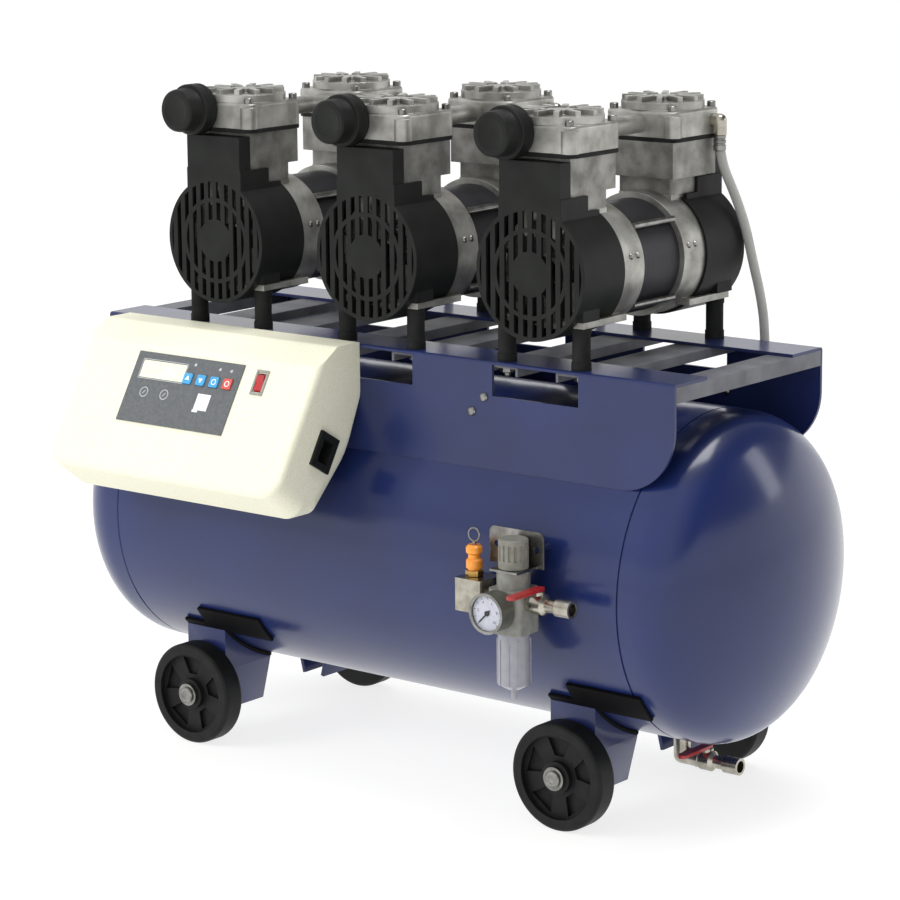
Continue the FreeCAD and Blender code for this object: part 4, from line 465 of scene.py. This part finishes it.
addCamera(camera)
addStudio(studio)
for name, values in softboxes.items():
    addSoftbox(name, *values)
bpy.context.scene.view_settings.view_transform = "Standard"
print("camera and lights set")


# modelling helpers; every piece is made on Z 0 and then set in its place

mergeGap = 0.005  # corners nearer than this are made one


def startClean():
    if bpy.context.mode != "OBJECT":
        bpy.ops.object.mode_set(mode="OBJECT")
    bpy.ops.object.select_all(action="DESELECT")


def finishMesh(name, finish, smoothAngle=35):
    bpy.ops.mesh.select_all(action="SELECT")
    bpy.ops.mesh.remove_doubles(threshold=mergeGap / 1000)
    bpy.ops.mesh.normals_make_consistent(inside=False)
    bpy.ops.object.mode_set(mode="OBJECT")
    piece = bpy.context.object
    piece.name = name
    bpy.ops.object.shade_smooth_by_angle(angle=math.radians(smoothAngle))
    piece.data.materials.clear()
    piece.data.materials.append(finishes[finish])
    return piece


def turned(name, finish, stations, sides, smoothAngle=35):
    # a turned piece: a disc drawn out ring by ring, stations being (height, radius)
    startClean()
    height, radius = stations[0]
    bpy.ops.mesh.primitive_circle_add(vertices=sides, radius=radius / 1000, fill_type="NGON",
                                      location=(0, 0, height / 1000))
    bpy.ops.object.transform_apply(location=True, rotation=False, scale=False)
    bpy.ops.object.mode_set(mode="EDIT")
    bpy.ops.mesh.select_all(action="SELECT")
    for nextHeight, nextRadius in stations[1:]:
        bpy.ops.mesh.extrude_region_move(
            TRANSFORM_OT_translate={"value": (0, 0, (nextHeight - height) / 1000)})
        ratio = nextRadius / radius
        bpy.ops.transform.resize(value=(ratio, ratio, 1), center_override=(0, 0, 0))
        height, radius = nextHeight, nextRadius
    return finishMesh(name, finish, smoothAngle)


def block(name, finish, size, rounding, segments=2):
    # a bar with rounded edges, centred in X and Y
    startClean()
    bpy.ops.mesh.primitive_cube_add(size=1, location=(0, 0, size[2] / 2000),
                                    scale=[side / 1000 for side in size])
    bpy.ops.object.transform_apply(location=True, rotation=True, scale=True)
    bpy.ops.object.mode_set(mode="EDIT")
    bpy.ops.mesh.select_all(action="SELECT")
    bpy.ops.mesh.bevel(offset=rounding / 1000, segments=segments, affect="EDGES")
    return finishMesh(name, finish)


def plate(name, finish, radius, thick, sides, hole=None):
    # a flat many-sided plate, or a ring where it has a hole
    startClean()
    bpy.ops.mesh.primitive_circle_add(vertices=sides, radius=radius / 1000, fill_type="NGON")
    bpy.ops.object.mode_set(mode="EDIT")
    bpy.ops.mesh.select_all(action="SELECT")
    if hole:
        bpy.ops.mesh.inset(thickness=(radius - hole) / 1000 * math.cos(math.pi / sides))
        bpy.ops.mesh.delete(type="FACE")
        bpy.ops.mesh.select_all(action="SELECT")
    bpy.ops.mesh.extrude_region_move(TRANSFORM_OT_translate={"value": (0, 0, thick / 1000)})
    return finishMesh(name, finish)


def setOn(piece, name, places, body):
    # the piece, or one copy of it for each place, joined and riding on its body
    copies = []
    for place in places:
        twin = bpy.data.objects.new(name, piece.data.copy())
        bpy.context.scene.collection.objects.link(twin)
        twin.data.transform(place)
        copies.append(twin)
    bpy.data.objects.remove(piece)
    startClean()
    for twin in copies:
        twin.select_set(True)
    whole = copies[0]
    bpy.context.view_layer.objects.active = whole
    if len(copies) > 1:
        bpy.ops.object.join()
    whole.name = name
    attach(whole, body)
    return whole


def at(point, rotation=None):
    return Matrix.Translation(point) @ (rotation or Matrix.Identity(4))


def bothWays(distance):
    return (-distance, distance)


def turnedBy(degrees, axis):
    return Matrix.Rotation(math.radians(degrees), 4, axis)


towardFront = turnedBy(90, "X")  # +Z of a piece turned to -Y
towardRear = turnedBy(-90, "X")
pumpPlaces = (-188.6, 0, 188.6)  # the pumps' middles along X
boxFace = {"lean": 30.8, "across": 175.3, "height": 403.7}  # the slope and its upper edge


def onFace(x, drop, lift):
    # a place on the sloping front of the control box: across, down the slope, outwards
    lean = math.radians(boxFace["lean"])
    point = spot(x, -boxFace["across"] - drop * math.sin(lean) - lift * math.cos(lean),
                 boxFace["height"] - drop * math.cos(lean) + lift * math.sin(lean))
    return at(point, turnedBy(90 - boxFace["lean"], "X"))


# discharge hoses, with a crimped ferrule at each end

hoses = {
    "diameter": 9, "roundness": 6, "smoothness": 12, "ferruleSides": 24,
    "route": [(47.2, 102, 608), (47.2, 102, 586), (56, 117, 549), (63.5, 123, 519),
              (68.5, 126, 491), (75.5, 128.5, 461), (80, 130, 432), (81, 130, 390),
              (81, 130, 334)],
    "ferrule": [(0, 5.2), (0.6, 5.9), (3, 5.9), (3.6, 5.2), (4.4, 5.2), (5, 5.9), (7.5, 5.9),
                (8.1, 5.2), (8.9, 5.2), (9.5, 5.9), (14, 5.9), (14.8, 5.0)],
}


def addHose(name, points, sizes):
    data = bpy.data.curves.new(name, "CURVE")
    data.dimensions = "3D"
    data.bevel_depth = sizes["diameter"] / 2000
    data.bevel_resolution = sizes["roundness"]
    data.use_fill_caps = True
    data.resolution_u = sizes["smoothness"]
    line = data.splines.new("NURBS")
    line.points.add(len(points) - 1)
    for held, point in zip(line.points, points):
        held.co = (*point, 1)
    line.order_u = 3
    line.use_endpoint_u = True
    hose = bpy.data.objects.new(name, data)
    bpy.context.scene.collection.objects.link(hose)
    data.materials.append(finishes["hoseBraid"])
    return hose


def lineLength(hose):
    # the length of the hose's own line, read from a copy with no thickness
    bare = hose.data.copy()
    bare.bevel_depth = 0
    twin = bpy.data.objects.new("bareLine", bare)
    bpy.context.scene.collection.objects.link(twin)
    bpy.context.view_layer.update()
    mesh = bpy.data.meshes.new_from_object(twin)
    ends = [[mesh.vertices[index].co for index in edge.vertices] for edge in mesh.edges]
    length = sum((start - end).length for start, end in ends)
    bpy.data.objects.remove(twin)
    bpy.data.meshes.remove(mesh)
    return length


for index, pumpX in enumerate(pumpPlaces, start=1):
    points = [spot(x + pumpX, y, z) for x, y, z in hoses["route"]]
    hose = addHose(f"hose_{index}", points, hoses)
    length = lineLength(hose)
    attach(hose, "machine")
    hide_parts("discharge_hoses")
    for label, end, toward in (("upper", 0, 1), ("lower", -1, -2)):
        run = (points[toward] - points[end]).to_track_quat("Z", "Y").to_matrix().to_4x4()
        setOn(turned("ferrule", "zincPlate", hoses["ferrule"], hoses["ferruleSides"]),
              f"hose_{index}_{label}_ferrule", [at(points[end], run)], "machine")
    print("hose", index, "is", round(length, 4), "m long")


# domed ends of the tank: flat flange, knuckle and crown in one smooth pressing

# the seam's depth, the width of its floor and the width at its mouth; and the steps along the
# knuckle and along the crown
dome = {"start": 302, "skirt": 15, "radius": 152.5, "depth": 78, "knuckle": 50, "height": 222.4,
        "seam": (1.1, 1.3, 2.08), "steps": (10, 22), "sides": 128, "smooth": 50, "apex": 0.3}


def domeStations(sizes):
    # the knuckle's arc runs into the crown's where their centres are in line
    knuckle, radius, depth = sizes["knuckle"], sizes["radius"], sizes["depth"]
    crown = (depth ** 2 - knuckle ** 2 + (radius - knuckle) ** 2) / (2 * (depth - knuckle))
    reach = math.asin((radius - knuckle) / (crown - knuckle))
    start, end = sizes["start"], sizes["start"] + sizes["skirt"]
    seamDeep, seamFloor, seamMouth = sizes["seam"]
    knuckleSteps, crownSteps = sizes["steps"]
    stations = [(start, radius - seamDeep), (start + seamFloor, radius - seamDeep),
                (start + seamMouth, radius), (start + sizes["skirt"] / 2, radius)]
    for step in range(knuckleSteps + 1):
        turn = (math.pi / 2 - reach) * step / knuckleSteps
        stations.append((end + knuckle * math.sin(turn),
                         radius - knuckle + knuckle * math.cos(turn)))
    for step in range(1, crownSteps):
        turn = reach * (1 - step / crownSteps)
        stations.append((end + depth - crown + crown * math.cos(turn), crown * math.sin(turn)))
    return stations + [(end + depth, sizes["apex"])]


ends = setOn(turned("dome", "tankPaint", domeStations(dome), dome["sides"], dome["smooth"]),
             "domed_ends", [at(spot(0, 0, dome["height"]), turnedBy(side * 90, "Y"))
                            for side in (-1, 1)], "machine")
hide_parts("tank_heads")
print("domed ends pressed")


# wheel brackets: deep folded channels that narrow downwards, on curved rubber saddle strips that
# run wide of the brackets and are near-black, painting the brackets' shadow on the tank

wheelLegs = {"front": 112, "deep": 66, "half": 25, "narrow": 14, "bottom": 28, "waist": 72,
             "top": 130, "sheet": 4, "round": 0.9, "along": 225.2, "cutSides": 160,
             "cutWide": 200}
# each strip's span along X, and the angles in degrees that it runs between; the second strip
# reaches well past the bracket, painting its shadow on the tank
saddlesAndShadow = {"inner": 152.7, "outer": 156.5, "round": 0.8, "steps": 16,
           "strips": (((-25, 25), (16.6, 48.2)), ((4.9, 86), (44.5, 56.5)))}
legPlaces = bothWays(wheelLegs["along"])


def selectFaces(test):
    # in edit mode, picks the faces that pass the test and no others
    bpy.ops.object.mode_set(mode="OBJECT")
    mesh = bpy.context.object.data
    for edge in mesh.edges:
        edge.select = False
    for corner in mesh.vertices:
        corner.select = False
    for face in mesh.polygons:
        face.select = test(face)
    bpy.ops.object.mode_set(mode="EDIT")


def applyModifier(piece, kind, **settings):
    modifier = piece.modifiers.new(kind, kind)
    for name, value in settings.items():
        setattr(modifier, name, value)
    startClean()
    bpy.context.view_layer.objects.active = piece
    piece.select_set(True)
    bpy.ops.object.modifier_apply(modifier=modifier.name)


def roundEdges(piece, width, edgeAngle=40, smoothAngle=35):
    applyModifier(piece, "BEVEL", width=width / 1000, segments=2, limit_method="ANGLE",
                  angle_limit=math.radians(edgeAngle))
    bpy.ops.object.shade_smooth_by_angle(angle=math.radians(smoothAngle))
    return piece


def wheelLeg(sizes, side):
    startClean()
    facing = 0.9  # a face counts as turned one way from here
    depth, height = sizes["deep"] / 1000, (sizes["top"] - sizes["bottom"]) / 1000
    middle = side * (sizes["front"] - sizes["deep"] / 2) / 1000
    bpy.ops.mesh.primitive_cube_add(size=1, scale=(2 * sizes["half"] / 1000, depth, height),
                                    location=(0, middle, sizes["bottom"] / 1000 + height / 2))
    bpy.ops.object.transform_apply(location=True, rotation=True, scale=True)
    bpy.ops.object.mode_set(mode="EDIT")
    bpy.ops.mesh.select_mode(type="FACE")
    bpy.ops.mesh.select_all(action="SELECT")
    bpy.ops.mesh.bisect(plane_co=(0, 0, sizes["waist"] / 1000), plane_no=(0, 0, 1))
    selectFaces(lambda face: face.normal.z < -facing)
    bpy.ops.transform.resize(value=(sizes["narrow"] / sizes["half"], 1, 1),
                             center_override=(0, 0, 0))
    # open above, below and toward the middle of the tank
    selectFaces(lambda face: abs(face.normal.z) > facing or face.normal.y * side < -facing)
    bpy.ops.mesh.delete(type="ONLY_FACE")
    leg = finishMesh("leg", "platePaint")
    applyModifier(leg, "SOLIDIFY", thickness=sizes["sheet"] / 1000, offset=-1,
                  use_even_offset=True)
    startClean()
    bpy.ops.mesh.primitive_cylinder_add(vertices=sizes["cutSides"],
                                        radius=saddlesAndShadow["outer"] / 1000,
                                        depth=sizes["cutWide"] / 1000,
                                        location=(0, 0, dome["height"] / 1000),
                                        rotation=(0, math.pi / 2, 0))
    tank = bpy.context.object
    applyModifier(leg, "BOOLEAN", object=tank, operation="DIFFERENCE", solver="EXACT")
    bpy.data.objects.remove(tank)
    return roundEdges(leg, sizes["round"])


def saddleAndShadowStrip(sizes, span, angles, side):
    # a flat bar bent round the tank, from the first angle to the second, up from straight down
    startClean()
    thick = sizes["outer"] - sizes["inner"]
    bpy.ops.mesh.primitive_plane_add(size=1, rotation=(math.pi / 2, 0, 0),
                                     location=(sum(span) / 2000, 0,
                                               -(sizes["inner"] + thick / 2) / 1000))
    bpy.context.object.scale = ((span[1] - span[0]) / 1000, thick / 1000, 1)
    bpy.ops.object.transform_apply(location=True, rotation=True, scale=True)
    bpy.ops.object.mode_set(mode="EDIT")
    bpy.ops.mesh.select_all(action="SELECT")
    # the spin operator turns against the right-hand rule, hence the order of the two angles
    bpy.ops.mesh.spin(steps=sizes["steps"], angle=side * math.radians(angles[0] - angles[1]),
                      center=(0, 0, 0), axis=(1, 0, 0))
    strip = finishMesh("strip", "saddleRubberAndShadow")
    strip.data.transform(turnedBy(side * angles[0], "X"))
    return roundEdges(strip, sizes["round"])


for side, label in ((-1, "front"), (1, "rear")):
    legs = setOn(wheelLeg(wheelLegs, side), f"{label}_wheel_legs",
                 [at(spot(x, 0, 0)) for x in legPlaces], "machine")
    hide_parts("wheel_brackets")
    # near-black strips: a rubber saddle, and the painted shadow of the bracket on the tank
    for number, (span, angles) in enumerate(saddlesAndShadow["strips"], start=1):
        strips = setOn(saddleAndShadowStrip(saddlesAndShadow, span, angles, side), f"{label}_saddles_{number}",
                       [at(spot(x, 0, dome["height"])) for x in legPlaces],
                       "machine")
        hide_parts("wheel_pads")
print("wheel legs and saddles folded")


# bolts, nuts and screws

headBolts = {"profile": [(0, 4), (4.4, 4), (5, 3.4), (5, 2.2), (2.4, 2.1)], "sides": 20,
             "bore": 78, "half": (32.5, 31.5), "height": 633}
footNuts = {"profile": [(0, 6.4), (4.6, 6.4), (5.2, 5.7), (5.2, 3.2), (8, 3.0), (8.6, 2.2)],
            "sides": 6, "half": (41.3, 104.4), "height": 412.6}
plateScrews = {"profile": [(0, 4.2), (0.8, 4.2), (2.2, 3.2), (2.8, 1.6), (2.9, 0.2)],
               "sides": 24, "places": ((117.4, -118.4, 370.3), (131.3, -118.4, 384.7),
                                       (235.6, 115.4, 366))}
caseScrews = {"profile": [(0, 3), (0.6, 3), (1.8, 2.2), (2.1, 0.8)], "sides": 16,
              "radius": 57.3, "height": 501.8, "rows": (-50, -40, 40, 50), "turns": (12, 168)}
axleNuts = {"profile": [(0, 7.4), (0.5, 7.8), (2, 7.8), (2.8, 7), (2.8, 4), (2.2, 3.6),
                        (2.2, 0.5)], "sides": 24, "across": 141.6, "height": 50}


def setFasteners(name, sizes, places, smoothAngle=25):
    setOn(turned("fastener", "zincPlate", sizes["profile"], sizes["sides"], smoothAngle), name,
          places, "machine")


def aroundCase(pumpX, y, turn, sizes):
    # on the round of a crankcase, pointing away from its shaft
    return at(spot(pumpX + sizes["radius"] * math.cos(math.radians(turn)), y,
                   sizes["height"] + sizes["radius"] * math.sin(math.radians(turn))),
              turnedBy(90 - turn, "Y"))


setFasteners("head_bolts", headBolts,
             [at(spot(pumpX + x, bore + y, headBolts["height"])) for pumpX in pumpPlaces
              for bore in bothWays(headBolts["bore"]) for x in bothWays(headBolts["half"][0])
              for y in bothWays(headBolts["half"][1])])
setFasteners("foot_nuts", footNuts,
             [at(spot(pumpX + x, y, footNuts["height"]), turnedBy(180, "X"))
              for pumpX in pumpPlaces for x in bothWays(footNuts["half"][0])
              for y in bothWays(footNuts["half"][1])])
setFasteners("plate_screws", plateScrews,
             [at(spot(*place), towardFront) for place in plateScrews["places"]])
setFasteners("case_screws", caseScrews,
             [aroundCase(pumpX, y, turn, caseScrews) for pumpX in pumpPlaces
              for y in caseScrews["rows"] for turn in caseScrews["turns"]])
setFasteners("axle_nuts", axleNuts,
             [at(spot(x, y, axleNuts["height"]), towardFront if y < 0 else towardRear)
              for x in legPlaces for y in bothWays(axleNuts["across"])])
print("bolts, nuts and screws set")


# control panel: display window, printed symbols, lamps, key symbols and switch frame

panel = {"top": 1.2, "ink": 0.12, "inkRound": 0.04,
         "display": (-200.25, 24), "displaySize": (55.9, 17.4, 0.5), "displayRound": 0.15,
         "frame": (58.6, 20.2), "frameLine": 0.7,
         "card": (-138.6, 49.2), "cardSize": (16.4, 16.4),
         "tab": (-144.2, 58.4), "tabSize": (7, 2.4),
         "symbols": ((-214.9, 47.2), (-188.7, 47.2)), "ring": (5.2, 4.3), "ringSides": 40,
         "hand": (0.9, 4.6), "handTurn": -40,
         "lamps": ((-162.1, 13.8), (-130.3, 15), (-115.9, 15)), "lampSides": 20,
         "lamp": [(0, 1.6), (0.25, 1.6), (0.5, 1.1), (0.6, 0.4)],
         "keyTop": 2.5, "keyX": (-165.9, -149.1, -132.3, -115.5), "keyDrop": 28.2}
ink, top = panel["ink"], panel["top"]
displayX, displayDrop = panel["display"]
wide, tall = panel["frame"]
line = panel["frameLine"]


def setOverlay(piece, name, places):
    setOn(piece, name, places, "machine")


def inkBar(finish, size):
    return block("bar", finish, (*size, ink), panel["inkRound"])


setOverlay(block("display", "litDisplay", panel["displaySize"], panel["displayRound"]),
           "display_window", [onFace(displayX, displayDrop, top - panel["displaySize"][2])])
setOverlay(inkBar("paleInk", (wide, line)), "display_frame_0",
           [onFace(displayX, displayDrop + gap, top) for gap in bothWays((tall - line) / 2)])
setOverlay(inkBar("paleInk", (line, tall)), "display_frame_1",
           [onFace(displayX + gap, displayDrop, top) for gap in bothWays((wide - line) / 2)])
setOverlay(inkBar("whiteInk", panel["cardSize"]), "white_card", [onFace(*panel["card"], top)])
setOverlay(inkBar("whiteInk", panel["tabSize"]), "white_card_tab", [onFace(*panel["tab"], top)])
setOverlay(plate("ring", "paleInk", panel["ring"][0], ink, panel["ringSides"],
                 panel["ring"][1]), "round_symbols",
           [onFace(*place, top) for place in panel["symbols"]])
setOverlay(inkBar("paleInk", panel["hand"]), "symbol_hands",
           [onFace(*place, top) @ turnedBy(panel["handTurn"], "Z")
            for place in panel["symbols"]])
setOverlay(turned("lamp", "paleInk", panel["lamp"], panel["lampSides"]), "panel_lamps",
           [onFace(*place, top) for place in panel["lamps"]])

# an arrow up, an arrow down, and two rings
keyMarks = [dict(radius=3.1, sides=3, turn=0), dict(radius=3.1, sides=3, turn=180),
            dict(radius=3, sides=40, hole=2.1, turn=0), dict(radius=3, sides=40, hole=2.1, turn=0)]
for index, (x, mark) in enumerate(zip(panel["keyX"], keyMarks), start=1):
    setOn(plate("mark", "whiteInk", mark["radius"], ink, mark["sides"], mark.get("hole")),
          f"key_{index}_mark",
          [onFace(x, panel["keyDrop"], panel["keyTop"]) @ turnedBy(mark["turn"], "Z")],
          f"key_{index}_cap")

switch = {"x": -78.6, "drop": 21.9, "wide": 15, "tall": 25, "bar": 2.4, "proud": 1.4,
          "round": 0.4}
bar = switch["bar"]
setOn(block("bar", "switchFrame", (bar, switch["tall"], switch["proud"]), switch["round"]),
      "switch_frame_sides", [onFace(switch["x"] + gap, switch["drop"], 0)
                             for gap in bothWays((switch["wide"] - bar) / 2)],
      "machine")
setOn(block("bar", "switchFrame", (switch["wide"] - 2 * bar, bar, switch["proud"]),
            switch["round"]),
      "switch_frame_ends", [onFace(switch["x"], switch["drop"] + gap, 0)
                            for gap in bothWays((switch["tall"] - bar) / 2)],
      "machine")
print("control panel dressed")


# pressure gauge: dial, marks, figures, bezel and window; and the valve's nut

# heights are from the recess that holds the dial
gauge = {"x": 209.8, "y": -215, "z": 216.4, "sides": 48, "sweep": 270,
         "dial": [(0, 15.8), (0.25, 15.8), (0.3, 15.6)],
         "marks": 11, "mark": (0.5, 2.2, 0.06), "markRound": 0.02, "markRing": 13.8,
         "markHeight": 0.3, "figures": ("0", "2", "4", "6", "8", "10"), "figureRing": 10.2,
         "figureHeight": 0.34, "figureSize": 3.4, "figureDeep": 0.03,
         "bezel": (18.5, 15.9), "bezelThick": 0.9, "bezelHeight": 2.5,
         "window": [(0, 15.8), (0.5, 15.8), (0.7, 15.4)], "windowHeight": 2.1}
valveNut = {"profile": [(0, 7.6), (0.4, 8.2), (5, 8.2), (5.6, 7.4)], "sides": 6, "smooth": 20,
            "place": (166, -178, 236.6)}


def onGauge(forward, turn=0, ring=0):
    # ahead of the recess on the gauge's axis, turned in degrees, then out along the turn
    return (at(spot(gauge["x"], gauge["y"] - forward, gauge["z"]), towardFront)
            @ turnedBy(turn, "Z") @ Matrix.Translation((0, ring / 1000, 0)))


def dialTurn(share):
    # the pointer's turn in degrees, from rest at share 0 to its stop at share 1
    return gauge["sweep"] * (0.5 - share)


setOn(turned("dial", "whiteDial", gauge["dial"], gauge["sides"]), "gauge_dial", [onGauge(0)],
      "machine")
setOn(block("mark", "blackEnamel", gauge["mark"], gauge["markRound"]), "gauge_marks",
      [onGauge(gauge["markHeight"], dialTurn(index / (gauge["marks"] - 1)), gauge["markRing"])
       for index in range(gauge["marks"])], "machine")
for index, figure in enumerate(gauge["figures"]):
    startClean()
    bpy.ops.object.text_add()
    words = bpy.context.object.data
    words.body = figure
    words.size = gauge["figureSize"] / 1000
    words.align_x, words.align_y = "CENTER", "CENTER"
    words.extrude = gauge["figureDeep"] / 1000
    bpy.ops.object.convert(target="MESH")
    numeral = bpy.context.object
    numeral.data.materials.clear()
    numeral.data.materials.append(finishes["blackEnamel"])
    turn = dialTurn(index / (len(gauge["figures"]) - 1))
    # the figures stand upright, so each is turned back after its way out
    setOn(numeral, f"gauge_figure_{figure}",
          [onGauge(gauge["figureHeight"], turn, gauge["figureRing"]) @ turnedBy(-turn, "Z")],
          "machine")
setOn(plate("bezel", "zincPlate", gauge["bezel"][0], gauge["bezelThick"], gauge["sides"],
            gauge["bezel"][1]), "gauge_bezel", [onGauge(gauge["bezelHeight"])],
      "machine")
setOn(turned("window", "dialAcrylic", gauge["window"], gauge["sides"]), "gauge_window",
      [onGauge(gauge["windowHeight"])], "machine")
setOn(turned("nut", "brass", valveNut["profile"], valveNut["sides"], valveNut["smooth"]),
      "valve_nut", [at(spot(*valveNut["place"]))], "machine")
print("gauge dressed")


# intake filters: a grooved drum with a stepped, dished cap

filters = {"across": -24, "back": -117, "height": 626, "sides": 56, "smooth": 30,
           "drum": [(0, 22.6), (0.8, 24), (4, 24), (4.5, 23.3), (5.5, 23.3), (6, 24),
                    (14.6, 24), (15.8, 22.8), (16, 21.2), (17, 20.6), (28, 20.4),
                    (31, 19.8), (32.6, 18.2), (32.8, 14), (32, 12.6), (32, 2)]}
drums = setOn(turned("drum", "blackNylon", filters["drum"], filters["sides"],
                     filters["smooth"]), "intake_filter_drums",
              [at(spot(pumpX + filters["across"], filters["back"], filters["height"]),
                  towardFront) for pumpX in pumpPlaces], "machine")
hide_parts("intake_filters")
print("intake filters set")


print("scene built")
